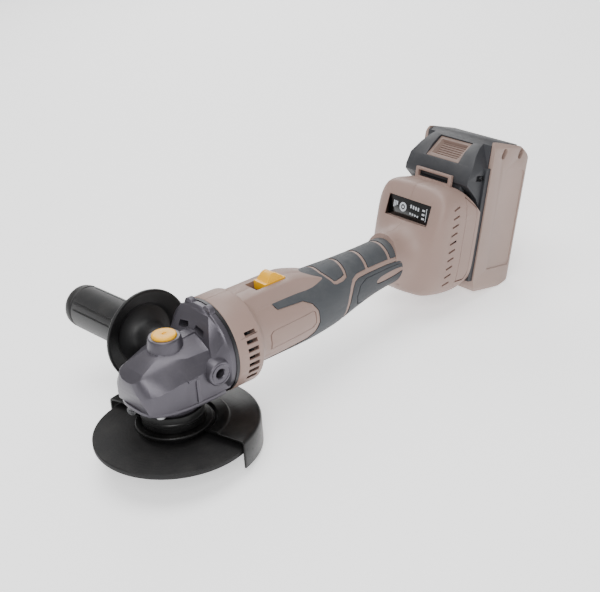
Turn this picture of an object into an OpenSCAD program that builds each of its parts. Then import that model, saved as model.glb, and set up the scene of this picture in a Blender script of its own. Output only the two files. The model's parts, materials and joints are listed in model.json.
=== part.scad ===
// Cordless angle grinder for 115 mm discs, as separate pieces.
// Drawn with the spindle on the Z axis, the motor axis along +X and the side handle towards +Y.
// Each piece is then shifted so that the origin is under the middle of the whole tool.

/* [Disc and spindle] */
// Diameter of the grinding disc
disc_d = 115; // [110:1:125]
// Thickness of the grinding disc
disc_t = 4; // [3:0.5:5]
// Height by which the middle of the disc is raised
disc_raise = 4.6; // [4:0.2:5]
// Bore of the disc
disc_bore_d = 22.2; // [22.2:0.1:22.4]
// Diameter of the backing flange
flange_d = 40; // [38:1:42]
// Thickness of the backing flange
flange_t = 5; // [4.5:0.5:5.5]
// Diameter of the lock nut
nut_d = 37; // [35:1:40]
// Thickness of the lock nut
nut_t = 6.5; // [6:0.5:7]
// Thread diameter of the spindle
thread_d = 14; // [14:1:14]
// Diameter of the spindle above the flange
spindle_d = 17; // [16:0.5:17]
// Length of thread that stands out below the lock nut
thread_end = 2.5; // [2:0.5:2.5]

/* [Guard] */
// Gap between the disc's rim and the guard
guard_gap = 1.3; // [1.2:0.1:3]
// Thickness of the guard's sheet
guard_t = 1.6; // [1.5:0.1:2]
// Height of the guard's cover above the middle of the disc
guard_top = 13.7; // [13:0.1:14]
// Depth of the guard's rim
guard_drop = 20.8; // [19:0.2:22]
// Angle at which the guard is clamped
guard_angle = 14.4; // [0:0.1:30]
// Diameter of the neck that the guard is clamped on
neck_d = 40; // [40:0.5:42]
// Width of the clamp band
band_h = 12; // [10:1:13]

/* [Gear head] */
// Height of the motor axis above the middle of the disc
motor_z = 58; // [57:0.5:59]
// Height of the head's lower edge
lip_z = 34; // [33.5:0.1:34]
// Thickness of the bearing cover's flange
cover_t = 3; // [3:0.5:4]
// Half width of the head at its widest
head_half = 28; // [27.5:0.5:30]
// Distance of the nose in front of the spindle
nose_x = 34; // [33:0.5:36]
// Height of the head's top plate over the spindle
head_top = 70.6; // [70:0.2:72]
// Radius of the room for the gears
gear_room_r = 21; // [20.5:0.25:21.5]
// Distance from the spindle to the side handle sockets
socket_x = 20.3; // [20:0.1:21]
// Distance from the middle to the face of each socket
socket_face = 32.3; // [32:0.1:34]
// Height of the handle axis over the middle of the disc
socket_z = 55.5; // [55:0.1:56]
// Angle by which the handle dips
socket_dip = 3.5; // [0:0.5:5]
// Depth of a side handle socket
socket_depth = 14; // [12:1:15]
// Bore of a side handle socket
socket_d = 6.8; // [6.8:0.1:6.8]
// Outer diameter of a socket boss
boss_d = 18; // [16:1:20]

/* [Gears] */
// Teeth on the ring gear
ring_teeth = 37; // [37:1:37]
// Teeth on the pinion
pinion_teeth = 11; // [11:1:11]
// Tooth size at the outer edge
tooth_module = 1; // [0.95:0.01:1]
// Length of a tooth
tooth_len = 6; // [5:0.5:6]
// Slack on each flank of a tooth
tooth_slack = 0.16; // [0.14:0.01:0.2]

/* [Lock button] */
// Diameter of the lock button
lock_d = 17.3; // [16:0.1:18]
// Travel of the lock button
lock_travel = 3; // [2.5:0.1:3]
// Height of the button's top over the middle of the disc
lock_top = 80.9; // [80.5:0.1:81.5]
// Wall of the collar round the lock button
collar_wall = 3; // [2.5:0.1:3.5]

/* [Motor] */
// Front face of the motor ring
ring_x = 35.5; // [35.5:0.1:36]
// Radius of the motor ring
ring_r = 34.6; // [34:0.1:36]
// Length of the motor ring
ring_len = 22; // [21:0.5:24]
// Radius of the stator
stator_r = 21.5; // [20:0.5:21.5]
// Length of the stator
stator_len = 34; // [30:1:34]
// Radius of the rotor
rotor_r = 11; // [10:0.5:11.5]
// Radius of the motor shaft
shaft_r = 4; // [4:0.5:4]
// Radius of the cooling fan
fan_r = 27.5; // [25:0.5:28]
// Number of fan blades
fan_blades = 11; // [7:1:15]

/* [Casing] */
// Wall of the casing
wall = 2.6; // [2.2:0.1:3]
// Depth of the rubber in the casing
rubber_t = 1.5; // [1:0.1:1.6]
// Height by which the rubber stands proud
rubber_proud = 0.4; // [0.2:0.1:0.8]
// Half width of the switch bed
bed_half = 12.5; // [11:0.5:14]
// Height of the switch bed above the motor axis
bed_rise = 29.4; // [28.5:0.1:31]
// Travel of the slide switch
switch_travel = 7; // [6:0.5:7]

/* [Battery shoe] */
// Lean of the battery from upright
lean = 14; // [13:0.5:15]
// Distance from the spindle to the battery's front face
shoe_x = 279; // [277:1:285]
// Height of the battery's middle
shoe_z = 88; // [86:1:90]
// Half width of the shoe
shoe_half = 36.5; // [35:0.5:38]
// Width of the display
display_w = 44.4; // [40:0.4:46]
// Height of the display
display_h = 16.2; // [14:0.2:17]

/* [Battery pack] */
// Half width of the battery pack
pack_half = 36.5; // [35.5:0.5:38]
// Thickness of the beige pack case
pack_t = 46; // [44:0.5:48]
// Top of the pack above the battery's middle
pack_up = 56; // [55:0.5:58]
// Bottom of the pack below the battery's middle
pack_down = 64; // [62:0.5:66]
// Diameter of a battery cell
cell_d = 18.4; // [18:0.1:18.4]
// Length of a battery cell
cell_len = 65; // [64.5:0.1:65.2]
// Half width of the battery's rail block
rail_half = 24; // [22:0.5:25]
// Gap between the rails and the shoe
rail_gap = 0.4; // [0.3:0.05:0.6]
// Travel of the battery's release button
latch_travel = 3; // [2:0.5:3]

/* [Side handle] */
// Radius of the side handle's flange
handle_flange_r = 34.3; // [32:0.1:36]
// Radius of the side handle's grip
handle_r = 16.7; // [15:0.1:18]
// Distance from the middle to the flange's rim
handle_rim = 52.6; // [52:0.1:54]
// Distance from the middle to the end of the handle
handle_end = 147; // [140:1:155]

/* [Hidden] */
$fn = 64;
fit = 0.05;
seat = 0.02;
eps = 0.01;
big = 400;

// levels on the spindle
hub_low = disc_raise - disc_t / 2;
hub_high = disc_raise + disc_t / 2;
shoulder_z = hub_high + flange_t;
bearing_z = lip_z - 4;
bearing_h = 8;
spindle_bearing_r = 14;
journal_r = 6;
cover_lip = 1.4;
gear_base = bearing_z + bearing_h + fit;
gear_seat_top = motor_z - 8;
top_journal_r = 4;
bush_z = motor_z + 1;
bush_h = 6.5;
bush_r = 6;
spindle_top = motor_z + 8.2;
dog_depth = 3.3;
dog_w = 2.1;
blade_w = 1.7;
blade_r = 3.4;
blade_low = spindle_top + 0.4;
key_low = blade_low + 2.8;
key_w = 6.4;
ledge_z = lock_top - 9.4;
cap_low = lock_top - 5.5;
cap_t = 1.9;
collar_top = lock_top - 2;
collar_low = head_top - 1;
lock_r = lock_d / 2;
pocket_r = lock_r + 0.35;

// gears
ring_pitch_r = tooth_module * ring_teeth / 2;
pinion_pitch_r = tooth_module * pinion_teeth / 2;
cone_len = sqrt(ring_pitch_r * ring_pitch_r + pinion_pitch_r * pinion_pitch_r);
ring_angle = atan(ring_teeth / pinion_teeth);
pinion_angle = 90 - ring_angle;
addendum = 0.8 * tooth_module;
dedendum = 1.15 * tooth_module;
pinion_out = ring_pitch_r;
pinion_in = ring_pitch_r - tooth_len;

// guard
guard_r = disc_d / 2 + guard_gap + guard_t;
guard_low = guard_top - guard_drop;
neck_r = neck_d / 2;
band_t = 2;
band_low = guard_top;
ear_out = 12;
ear_t = 2.4;
ear_gap = 4;
ear_angle = 106;

// head
head_base = lip_z + cover_t;
gear_room_top = motor_z - 1.4;
bell_r = ring_r - 1;
plate_x = ring_x - 2.5;
bell_x = plate_x - 2;
flange_x = bell_x - 4;
bell_start = 14;
front_bearing_r = 11;
front_bearing_x = plate_x - 7;
front_bearing_w = 7;
head_screw_r = 32;
head_screw_side = 18;
head_screw_d = 4;
cover_screw_at = [[-20.5, 17], [21, 20]];
cover_screw_d = 4;

// motor
ring_end = ring_x + ring_len;
stator_x = ring_end - 1.5;
winding_over = 6;
rear_bearing_r = 9.5;
rear_bearing_w = 6;
rear_bearing_x = stator_x + stator_len + winding_over + 5;
motor_bore_r = stator_r + fit;
fan_x = ring_x + 2.5;
fan_w = 9;
shaft_front = pinion_in - 2;
shaft_end = rear_bearing_x + rear_bearing_w + 2;

// casing skin along the motor axis: x, half width, top, bottom, squareness
body_sections = [
  [ring_x + 16, 26.5, 84, 32.8, 2],
  [ring_end + 46, 26.5, 84, 32.8, 2],
  [ring_end + 63, 25, 82.5, 33.2, 2],
  [ring_end + 83, 22.5, 81.5, 35.4, 2.1],
  [ring_end + 103, 20, 81, 39.6, 2.1],
  [ring_end + 123, 18, 81, 43.4, 2.1],
  [ring_end + 143, 17, 81.5, 45.4, 2.1],
  [ring_end + 162, 17, 82, 46, 2.1]
];
shoe_up = 19;
shoe_back = -5;
// skin of the battery shoe, across the lean: depth, half width, top, bottom, squareness
shoe_sections = [
  [-70, 16.4, -20, -55, 2.1],
  [-60, 18.3, -17.5, -60, 2.1],
  [-53, 22.5, -14, -63.5, 2.3],
  [-49, 27.5, -9, -65.5, 2.7],
  [-46.2, 31, 5, -66, 3.2],
  [-44, 33.3, 14, -66.5, 3.8],
  [-39.5, 35, 17.8, -66.5, 4.2],
  [-26, shoe_half - 0.3, shoe_up, -66, 4.6],
  [-14, shoe_half, shoe_up, -63.5, 5],
  [shoe_back, shoe_half, shoe_up, -58.5, 5.2]
];
skin_n = 36;
channel_floor = -20;
channel_low = -52;
rail_low = channel_low + 6;
rib_v = -12.4;
rib_w = 3.4;
rib_in = 3;
rail_travel = 80;
display_v = -45.2;
display_u = -2.4;
display_t = 2.6;
grip_screw_at = [[ring_end + 64, motor_z - 17], [ring_end + 136, motor_z - 6]];
shoe_screw_at = [[-36, -56], [-33, 7]];
case_screw_d = 3;
case_screw_reach = 9;
case_boss_r = 3.8;
window_deep = 3;

// bridge at the top of the shoe
bridge_v = -25;
bridge_t = 3;
bridge_half = 18.5;
bridge_up = 27.5;

// switch
bed_x0 = ring_x + 14;
bed_x1 = ring_end + 60;
knob_len = 19;
switch_slot_x = ring_end + 18;
switch_slot_len = knob_len + switch_travel + 1;
knob_x = switch_slot_x + switch_travel + 0.6;
switch_half = 6.5;
link_z = motor_z + stator_r + 0.5;
link_t = 1.5;
link_half = 5;
rear_room_x = rear_bearing_x + rear_bearing_w + 1.5;
step_x = rear_room_x + switch_travel + 0.8;
low_link_z = motor_z + 16.5;
power_switch_x = step_x + 4;
board_x = power_switch_x + 24;
board_len = 44;
board_z = motor_z + 5;

lead_y = [-12, 9, 13];
lead_down = 10;

// battery
plate_v = shoe_back + 0.4;
pack_wall = 2;
cell_rows = 5;
cell_pitch = 19;

// whole tool
guard_dip_y = guard_r * sin(90 - guard_angle);
tool_low = [-disc_d / 2, -guard_dip_y, guard_low];
pack_rear = shoe_x + 38 * sin(lean) + pack_t * cos(lean);
tip_flat_r = 6;
handle_tip_y = handle_end * cos(socket_dip) + tip_flat_r * sin(socket_dip);
tool_high = [pack_rear, handle_tip_y, 0];

origin = [(tool_low[0] + tool_high[0]) / 2, (tool_low[1] + tool_high[1]) / 2, tool_low[2]];

module placed() {
  translate(-origin) children();
}
module along_x(x = 0) {
  translate([x, 0, motor_z]) rotate([0, 90, 0]) children();
}
module leaned() {
  translate([shoe_x, 0, shoe_z]) rotate([0, lean, 0]) children();
}
// side = 1 towards +Y, -1 towards -Y; the child is drawn along +Z from the middle of the head
module on_socket(side) {
  translate([socket_x, 0, socket_z]) rotate([-side * (90 + socket_dip), 0, 0]) children();
}
module tube(h, r_out, r_in) {
  difference() {
    cylinder(h = h, r = r_out);
    translate([0, 0, -1]) cylinder(h = h + 2, r = r_in);
  }
}
module box(low, high) {
  translate(low) cube(high - low);
}
function mirror_y(points) = concat(points, [for (i = [len(points) - 1:-1:0]) [points[i][0], -points[i][1]]]);
function round_rect(w, h, r, n = 6) = [
  for (q = [0:3], i = [0:n])
    let (a = 90 * q + 90 * i / n, sx = (q == 0 || q == 3) ? 1 : -1, sy = q < 2 ? 1 : -1)
      [sx * (w / 2 - r) + r * cos(a), sy * (h / 2 - r) + r * sin(a)]
];
function squared(v, e) = sign(v) * pow(abs(v), e);
function skin_ring(s, grow) = [
  for (i = [0:skin_n - 1])
    let (a = (i + 0.5) * 360 / skin_n, e = 2 / s[4])
      [s[0], (s[1] + grow) * squared(cos(a), e),
       (s[2] + s[3]) / 2 + ((s[2] - s[3]) / 2 + grow) * squared(sin(a), e)]
];
module skin(sections, grow = 0, stretch = 0) {
  count = len(sections);
  rings = [for (k = [0:count - 1]) let (s = sections[k])
    skin_ring([s[0] + (k == 0 ? -stretch : (k == count - 1 ? stretch : 0)), s[1], s[2], s[3], s[4]], grow)];
  points = [for (ring = rings) for (p = ring) p];
  sides = [for (k = [0:count - 2], i = [0:skin_n - 1], half = [0:1])
    let (j = (i + 1) % skin_n, a = k * skin_n + i, b = k * skin_n + j,
         c = (k + 1) * skin_n + j, d = (k + 1) * skin_n + i)
      half == 0 ? [a, c, b] : [a, d, c]];
  first = [for (i = [0:skin_n - 1]) i];
  last = [for (i = [skin_n - 1:-1:0]) (count - 1) * skin_n + i];
  polyhedron(points = points, faces = concat([first], sides, [last]), convexity = 4);
}
module coil(r, wire_r, turns, h) {
  steps = 16;
  sides = 5;
  total = turns * steps;
  points = [for (k = [0:total], i = [0:sides - 1])
    let (a = 360 * k / steps, b = 360 * i / sides, rr = r + wire_r * cos(b))
      [rr * cos(a), rr * sin(a), wire_r + (h - 2 * wire_r) * k / total + wire_r * sin(b)]];
  walls = [for (k = [0:total - 1], i = [0:sides - 1])
    let (j = (i + 1) % sides)
      [k * sides + i, k * sides + j, (k + 1) * sides + j, (k + 1) * sides + i]];
  tris = [for (w = walls) for (t = [[w[0], w[1], w[2]], [w[0], w[2], w[3]]]) t];
  first = [for (i = [sides - 1:-1:0]) i];
  last = [for (i = [0:sides - 1]) total * sides + i];
  polyhedron(points = points, faces = concat([first], tris, [last]), convexity = 8);
}
// one gap between bevel teeth: a wedge from the cone's tip, for a gear whose axis is +Z
module tooth_gap(cone_angle) {
  far = 1.25;
  high = 1.6 * tooth_module;
  wide_at = function (n) PI * tooth_module / 4 + n * tan(20) + tooth_slack;
  corners = [for (c = [[-wide_at(high), high], [wide_at(high), high],
                       [wide_at(-dedendum), -dedendum], [-wide_at(-dedendum), -dedendum]])
    let (along = cone_len * far, t = c[0] * far, n = c[1] * far)
      [along * sin(cone_angle) + n * cos(cone_angle), t, -along * cos(cone_angle) + n * sin(cone_angle)]];
  polyhedron(points = concat([[0, 0, 0]], corners),
             faces = [[1, 2, 3, 4], [0, 2, 1], [0, 3, 2], [0, 4, 3], [0, 1, 4]]);
}

// ---------- spindle ----------
module spindle() {
  color("silver") placed() difference() {
    union() {
      translate([0, 0, hub_low - nut_t - thread_end])
        cylinder(h = shoulder_z - hub_low + nut_t + thread_end, r = thread_d / 2);
      translate([0, 0, shoulder_z]) cylinder(h = bearing_z - fit - shoulder_z, r = spindle_d / 2);
      translate([0, 0, bearing_z - fit]) cylinder(h = gear_seat_top + 1.6 + fit - bearing_z, r = journal_r);
      translate([0, 0, gear_seat_top]) cylinder(h = spindle_top - gear_seat_top, r = top_journal_r);
    }
    translate([0, 0, gear_seat_top]) tube(1.1, journal_r + 1, journal_r - 0.6);
    for (a = [0, 90]) rotate([0, 0, a])
      translate([0, 0, spindle_top]) cube([3 * top_journal_r, dog_w, 2 * dog_depth], center = true);
  }
}
module ring_gear() {
  blank_low = gear_seat_top - 4;
  color("dimgray") placed() difference() {
    union() {
      rotate_extrude() polygon([
        [journal_r, gear_base], [journal_r + 4, gear_base], [journal_r + 4, blank_low],
        [ring_pitch_r + addendum * cos(ring_angle) - 0.6, blank_low],
        [ring_pitch_r + addendum * cos(ring_angle),
         motor_z - ring_pitch_r / tan(ring_angle) + addendum * sin(ring_angle) - 1.6],
        [ring_pitch_r + addendum * cos(ring_angle) - 0.1,
         motor_z - ring_pitch_r / tan(ring_angle) + addendum * sin(ring_angle)],
        [ring_pitch_r - tooth_len, motor_z - (ring_pitch_r - tooth_len) / tan(ring_angle)
         + addendum * sin(ring_angle)],
        [ring_pitch_r - tooth_len - 0.6, gear_seat_top], [journal_r, gear_seat_top]
      ]);
    }
    for (i = [0:ring_teeth - 1]) translate([0, 0, motor_z]) rotate([0, 0, (i + 0.5) * 360 / ring_teeth])
      tooth_gap(ring_angle);
  }
}
module gear_circlip() {
  color("black") placed() translate([0, 0, gear_seat_top + 0.05]) difference() {
    tube(1, journal_r + 1.6, journal_r - 0.6);
    translate([0, -1.5, -1]) cube([20, 3, 4]);
  }
}
module inner_flange() {
  pilot = 3;
  color("dimgray") placed() difference() {
    union() {
      translate([0, 0, hub_high]) cylinder(h = flange_t - 1.5, r = flange_d / 2);
      translate([0, 0, hub_high]) cylinder(h = flange_t, r = flange_d / 2 - 4);
      translate([0, 0, hub_high - pilot]) cylinder(h = pilot + 1, r = disc_bore_d / 2 - 0.1);
    }
    translate([0, 0, hub_high - pilot - 1]) cylinder(h = flange_t + pilot + 2, r = thread_d / 2 + fit);
    translate([0, 0, hub_high - 1]) tube(1.8, flange_d / 2 - 6, disc_bore_d / 2 + 1);
  }
}
module grinding_disc() {
  hub_r = 24;
  slope_r = 30;
  r = disc_d / 2;
  half = disc_t / 2;
  color([0.08, 0.08, 0.08]) placed() rotate_extrude($fn = 128) polygon([
    [disc_bore_d / 2, hub_low], [hub_r, hub_low], [slope_r, -half], [r - 0.6, -half], [r, -half + 0.6],
    [r, half - 0.6], [r - 0.6, half], [slope_r - 1, half], [hub_r - 1, hub_high], [disc_bore_d / 2, hub_high]
  ]);
}
module lock_nut() {
  hole_at = 15;
  color("dimgray") placed() difference() {
    union() {
      translate([0, 0, hub_low - nut_t + 2]) cylinder(h = nut_t - 2, r = nut_d / 2);
      translate([0, 0, hub_low - nut_t]) cylinder(h = 3, r = nut_d / 2 - 2.4);
    }
    translate([0, 0, hub_low - nut_t - 1]) cylinder(h = nut_t + 2, r = thread_d / 2 + fit);
    for (s = [-1, 1]) translate([s * hole_at, 0, hub_low - nut_t - 1]) cylinder(h = nut_t + 2, r = 2.25, $fn = 32);
  }
}

// ---------- gear head ----------
function head_plan(grow = 0) = mirror_y([
  [-nose_x - grow, 0], [-nose_x - grow, 12], [-nose_x + 4 - grow, 18.5 + grow], [-nose_x + 11, 24 + grow],
  [-nose_x + 20, 26.4 + grow], [2, head_half - 0.5 + grow], [16, head_half + grow], [bell_x, head_half - 1 + grow]
]);
module head_block() {
  intersection() {
    translate([0, 0, head_base]) linear_extrude(60) polygon(head_plan());
    rotate([90, 0, 0]) linear_extrude(100, center = true) polygon([
      [bell_x, head_base], [-nose_x + 4, head_base], [-nose_x, 57], [-nose_x + 0.5, 61.5],
      [-nose_x + 3, 65], [-nose_x + 7, 66.6], [0, head_top], [18, 72.6], [bell_x, 74.5]
    ]);
    rotate([90, 0, 90]) linear_extrude(200, center = true) polygon([
      [head_half + 1, head_base], [head_half + 1, 57], [23.6, 66.5], [22.6, 80],
      [-22.6, 80], [-23.6, 66.5], [-head_half - 1, 57], [-head_half - 1, head_base]
    ]);
  }
}
module gear_housing() {
  vent_z = 78;
  color([0.36, 0.35, 0.38]) placed() difference() {
    union() {
      head_block();
      along_x(flange_x) cylinder(h = plate_x - flange_x, r = bell_r);
      intersection() {
        along_x(bell_start) cylinder(h = flange_x + 1 - bell_start, r1 = head_top - motor_z + 3, r2 = bell_r - 1.3);
        box([0, -big, head_base], [plate_x, big, big]);
      }
      translate([0, 0, collar_low]) cylinder(h = collar_top - collar_low, r = lock_r + collar_wall);
      for (side = [-1, 1]) {
        on_socket(side) cylinder(h = socket_face, r = boss_d / 2);
        on_socket(side) translate([0, -boss_d / 2 + 1, 0]) cube([plate_x - socket_x - 0.8, boss_d - 2, socket_face - 3]);
      }
      for (a = [0, 180], s = [-1, 1]) along_x(bell_x - 1) rotate([0, 0, a + s * head_screw_side])
        translate([-head_screw_r, 0, 0]) cylinder(h = plate_x - bell_x + 0.5, r = 4.7, $fn = 32);
    }
    // room for the gears, the spindle's top bearing and the lock
    translate([0, 0, head_base - 1]) cylinder(h = gear_room_top - head_base + 1, r = gear_room_r);
    translate([0, 0, motor_z - 5]) cylinder(h = 12, r = top_journal_r + 0.5);
    translate([0, 0, bush_z]) cylinder(h = bush_h, r = bush_r + seat);
    translate([0, 0, motor_z - 4]) cylinder(h = key_low + 0.6 - motor_z + 4, r = top_journal_r + 0.4);
    translate([-key_w / 2 - 0.1, -key_w / 2 - 0.1, motor_z]) cube([key_w + 0.2, key_w + 0.2, 40]);
    translate([0, 0, ledge_z]) cylinder(h = 40, r = pocket_r);
    // room for the pinion and the front bearing of the motor
    along_x(bush_r + 2) cylinder(h = plate_x, r = pinion_pitch_r + 3);
    along_x(front_bearing_x) cylinder(h = 40, r = front_bearing_r + seat);
    for (side = [-1, 1])
      on_socket(side) translate([0, 0, socket_face - socket_depth]) cylinder(h = 40, r = socket_d / 2);
    // air outlets in the upright wall
    for (s = [-1, 1]) {
      box([10, s * 10.5 - 4, vent_z], [big, s * 10.5 + 4, vent_z + 3.4]);
    }
    for (p = cover_screw_at, s = [-1, 1]) translate([p[0], s * p[1], head_base - 1])
      cylinder(h = 9, r = cover_screw_d / 2 - 0.3, $fn = 32);
    for (a = [0, 180], s = [-1, 1]) along_x(0) rotate([0, 0, a + s * head_screw_side])
      translate([-head_screw_r, 0, 0]) {
        cylinder(h = 50, r = head_screw_d / 2 + 0.1, $fn = 32);
        cylinder(h = bell_x, r = 3.8, $fn = 32);
      }
  }
}
module bearing_cover() {
  neck_low = guard_top + 1;
  color([0.36, 0.35, 0.38]) placed() difference() {
    union() {
      translate([0, 0, lip_z]) linear_extrude(cover_t) polygon(
        [for (p = head_plan(0)) [min(max(p[0], -nose_x + 3.2), flange_x - 0.2), p[1]]]);
      translate([0, 0, lip_z]) cylinder(h = cover_t + cover_lip, r = gear_room_r - 0.6);
      translate([0, 0, neck_low]) cylinder(h = lip_z - neck_low + 1, r = neck_r);
    }
    translate([0, 0, neck_low - 1]) cylinder(h = bearing_z - 3 - neck_low + 1, r = neck_r - 3);
    translate([0, 0, neck_low - 1]) cylinder(h = 40, r = spindle_d / 2 + 0.4);
    translate([0, 0, bearing_z]) cylinder(h = 20, r = spindle_bearing_r + seat);
    for (p = cover_screw_at, s = [-1, 1]) translate([p[0], s * p[1], lip_z - 1])
      cylinder(h = 9, r = cover_screw_d / 2 + 0.1, $fn = 32);
  }
}
module screw(d, head_d, head_h, len) {
  difference() {
    union() {
      translate([0, 0, -head_h]) cylinder(h = head_h, r = head_d / 2, $fn = 32);
      cylinder(h = len, r = d / 2, $fn = 32);
    }
    for (a = [0, 90]) rotate([0, 0, a]) translate([0, 0, -head_h]) cube([head_d * 0.62, 0.9, 1.8], center = true);
  }
}
module cover_screws() {
  color("silver") placed() for (p = cover_screw_at, s = [-1, 1])
    translate([p[0], s * p[1], lip_z]) screw(cover_screw_d - 0.7, 7, 2.2, cover_t + 6);
}
module head_screws() {
  color("silver") placed() for (a = [0, 180], s = [-1, 1]) along_x(bell_x) rotate([0, 0, a + s * head_screw_side])
    translate([-head_screw_r, 0, 0]) screw(head_screw_d - 0.2, 7, 2.4, 15);
}
module mounting_plate() {
  color([0.3, 0.3, 0.32]) placed() along_x(plate_x) linear_extrude(ring_x - plate_x) difference() {
    circle(r = ring_r - 0.4);
    circle(r = front_bearing_r - 2);
    for (i = [0:7]) rotate([0, 0, i * 45 + 22.5]) translate([21, 0]) circle(r = 4.5, $fn = 32);
    for (a = [0, 180], s = [-1, 1]) rotate([0, 0, a + s * head_screw_side])
      translate([-head_screw_r, 0]) circle(r = head_screw_d / 2, $fn = 32);
  }
}
module spindle_bearing() {
  color("silver") placed() translate([0, 0, bearing_z]) difference() {
    tube(bearing_h, spindle_bearing_r, journal_r + seat);
    for (z = [-1, bearing_h - 0.5]) translate([0, 0, z]) tube(1.5, spindle_bearing_r - 2.2, journal_r + 2.2);
  }
}
module spindle_bush() {
  color("goldenrod") placed() translate([0, 0, bush_z]) tube(bush_h - 0.1, bush_r, top_journal_r + seat);
}

// ---------- lock ----------
module lock_button() {
  color([0.94, 0.72, 0.16]) placed() difference() {
    union() {
      translate([0, 0, cap_low]) cylinder(h = lock_top - 0.8 - cap_low, r = lock_r);
      translate([0, 0, lock_top - 1]) cylinder(h = 1, r = lock_r - 0.8);
    }
    translate([0, 0, cap_low - 1]) cylinder(h = lock_top - cap_t - cap_low + 1, r = lock_r - 0.9);
    translate([0, 0, lock_top]) cube([1.6, 3.6, 1.2], center = true);
  }
}
module lock_plunger() {
  color("silver") placed() union() {
    for (a = [0, 90]) rotate([0, 0, a]) translate([-blade_r, -blade_w / 2, blade_low])
      cube([2 * blade_r, blade_w, key_low - blade_low + 0.5]);
    translate([-key_w / 2, -key_w / 2, key_low]) cube([key_w, key_w, 3.4]);
    translate([0, 0, key_low + 3]) cylinder(h = lock_top - cap_t - key_low - 3, r = 2.9);
  }
}
module lock_spring() {
  color("silver") placed() translate([0, 0, ledge_z + 0.05])
    coil(6.1, 0.45, 4, lock_top - cap_t - ledge_z - 0.1);
}

// ---------- guard ----------
module in_guard() {
  rotate([0, 0, guard_angle]) children();
}
module guard() {
  hub_step_r = 38;
  color([0.1, 0.1, 0.1]) placed() in_guard() difference() {
    union() {
      difference() {
        rotate_extrude($fn = 128) polygon([
          [neck_r + fit, guard_top - guard_t], [guard_r - guard_t - 1.5, guard_top - guard_t],
          [guard_r - guard_t, guard_top - guard_t - 1.5], [guard_r - guard_t, guard_low], [guard_r, guard_low],
          [guard_r, guard_top - 2], [guard_r - 2, guard_top], [hub_step_r + 1.5, guard_top],
          [hub_step_r, guard_top + 1.2], [neck_r + fit, guard_top + 1.2]
        ]);
        box([-big, -big, -50], [0, big, 50]);
      }
      translate([0, 0, guard_top - guard_t]) tube(guard_t + 1.2, neck_r + 7, neck_r + fit);
    }
    rotate_extrude() polygon([
      [neck_r + 8, guard_top - guard_t - 1], [hub_step_r - 1.6, guard_top - guard_t - 1],
      [hub_step_r - 1.6, guard_top - guard_t + 0.8], [hub_step_r - 2.8, guard_top - 0.4], [neck_r + 8, guard_top - 0.4]
    ]);
  }
}
module guard_band() {
  color([0.12, 0.12, 0.12]) placed() in_guard() translate([0, 0, guard_top + 1.2]) difference() {
    union() {
      tube(band_h, neck_r + band_t, neck_r + fit);
      rotate([0, 0, ear_angle]) for (s = [-1, 1])
        translate([neck_r + 1, s * (ear_gap + ear_t) / 2 - ear_t / 2, 1]) cube([ear_out, ear_t, band_h - 2]);
    }
    rotate([0, 0, ear_angle]) translate([neck_r - 4, -ear_gap / 2, -1]) cube([big, ear_gap, band_h + 2]);
    rotate([0, 0, ear_angle]) translate([neck_r + 8, 0, band_h / 2]) rotate([90, 0, 0])
      cylinder(h = 30, r = 2.1, center = true, $fn = 32);
  }
}
module on_clamp() {
  in_guard() rotate([0, 0, ear_angle]) translate([neck_r + 8, 0, guard_top + 1.2 + band_h / 2]) children();
}
module clamp_screw() {
  side = ear_gap / 2 + ear_t;
  color("silver") placed() on_clamp() translate([0, side, 0]) rotate([90, 0, 0]) screw(4, 7, 3.2, 2 * side + 5);
}
module clamp_nut() {
  side = ear_gap / 2 + ear_t;
  color("silver") placed() on_clamp() translate([0, -side, 0]) rotate([90, 0, 0]) difference() {
    cylinder(h = 3.2, r = 4, $fn = 6);
    translate([0, 0, -1]) cylinder(h = 6, r = 2 + seat, $fn = 32);
  }
}

// ---------- motor ----------
module motor_shaft() {
  color("silver") placed() along_x(shaft_front) cylinder(h = shaft_end - shaft_front, r = shaft_r - 1);
}
module rotor() {
  color("dimgray") placed() along_x(stator_x) union() {
    tube(stator_len, rotor_r, shaft_r - 1 + seat);
    for (i = [0:3]) rotate([0, 0, i * 90 + 45]) translate([0, 0, -1]) intersection() {
      tube(stator_len + 2, rotor_r - 0.5, shaft_r + 1);
      translate([0, -4, 0]) cube([20, 8, 60]);
    }
  }
}
module stator() {
  slot_n = 6;
  color([0.45, 0.45, 0.47]) placed() along_x(stator_x) difference() {
    cylinder(h = stator_len, r = stator_r);
    translate([0, 0, -1]) cylinder(h = stator_len + 2, r = rotor_r + 0.5);
    for (i = [0:slot_n - 1]) rotate([0, 0, i * 360 / slot_n]) {
      translate([16, 0, -1]) cylinder(h = stator_len + 2, r = 3.6, $fn = 32);
      translate([0, -0.9, -1]) cube([16, 1.8, stator_len + 2]);
    }
  }
}
module windings() {
  slot_n = 6;
  color([0.72, 0.4, 0.2]) placed() for (i = [0:slot_n - 1]) along_x(stator_x - winding_over)
    rotate([0, 0, i * 360 / slot_n]) union() {
      translate([16, 0, 0]) cylinder(h = stator_len + 2 * winding_over, r = 3.3, $fn = 32);
      for (z = [0, stator_len + winding_over + 0.4]) translate([0, 0, z]) intersection() {
        tube(winding_over - 0.4, 19.5, 12.7);
        rotate([0, 0, -26]) cube([30, 30, 20]);
        rotate([0, 0, -64]) cube([30, 30, 20]);
      }
    }
}
module sensor_board() {
  color("darkgreen") placed() along_x(stator_x + stator_len + winding_over + 0.6) tube(1.6, stator_r - 1, shaft_r + 2);
}
module fan() {
  color([0.15, 0.15, 0.16]) placed() along_x(fan_x) union() {
    tube(fan_w, 8, shaft_r - 1 + seat);
    tube(1.6, fan_r, shaft_r);
    for (i = [0:fan_blades - 1]) rotate([0, 0, i * 360 / fan_blades]) translate([7, -0.7, 0])
      cube([fan_r - 8, 1.4, fan_w - 1]);
  }
}
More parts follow.
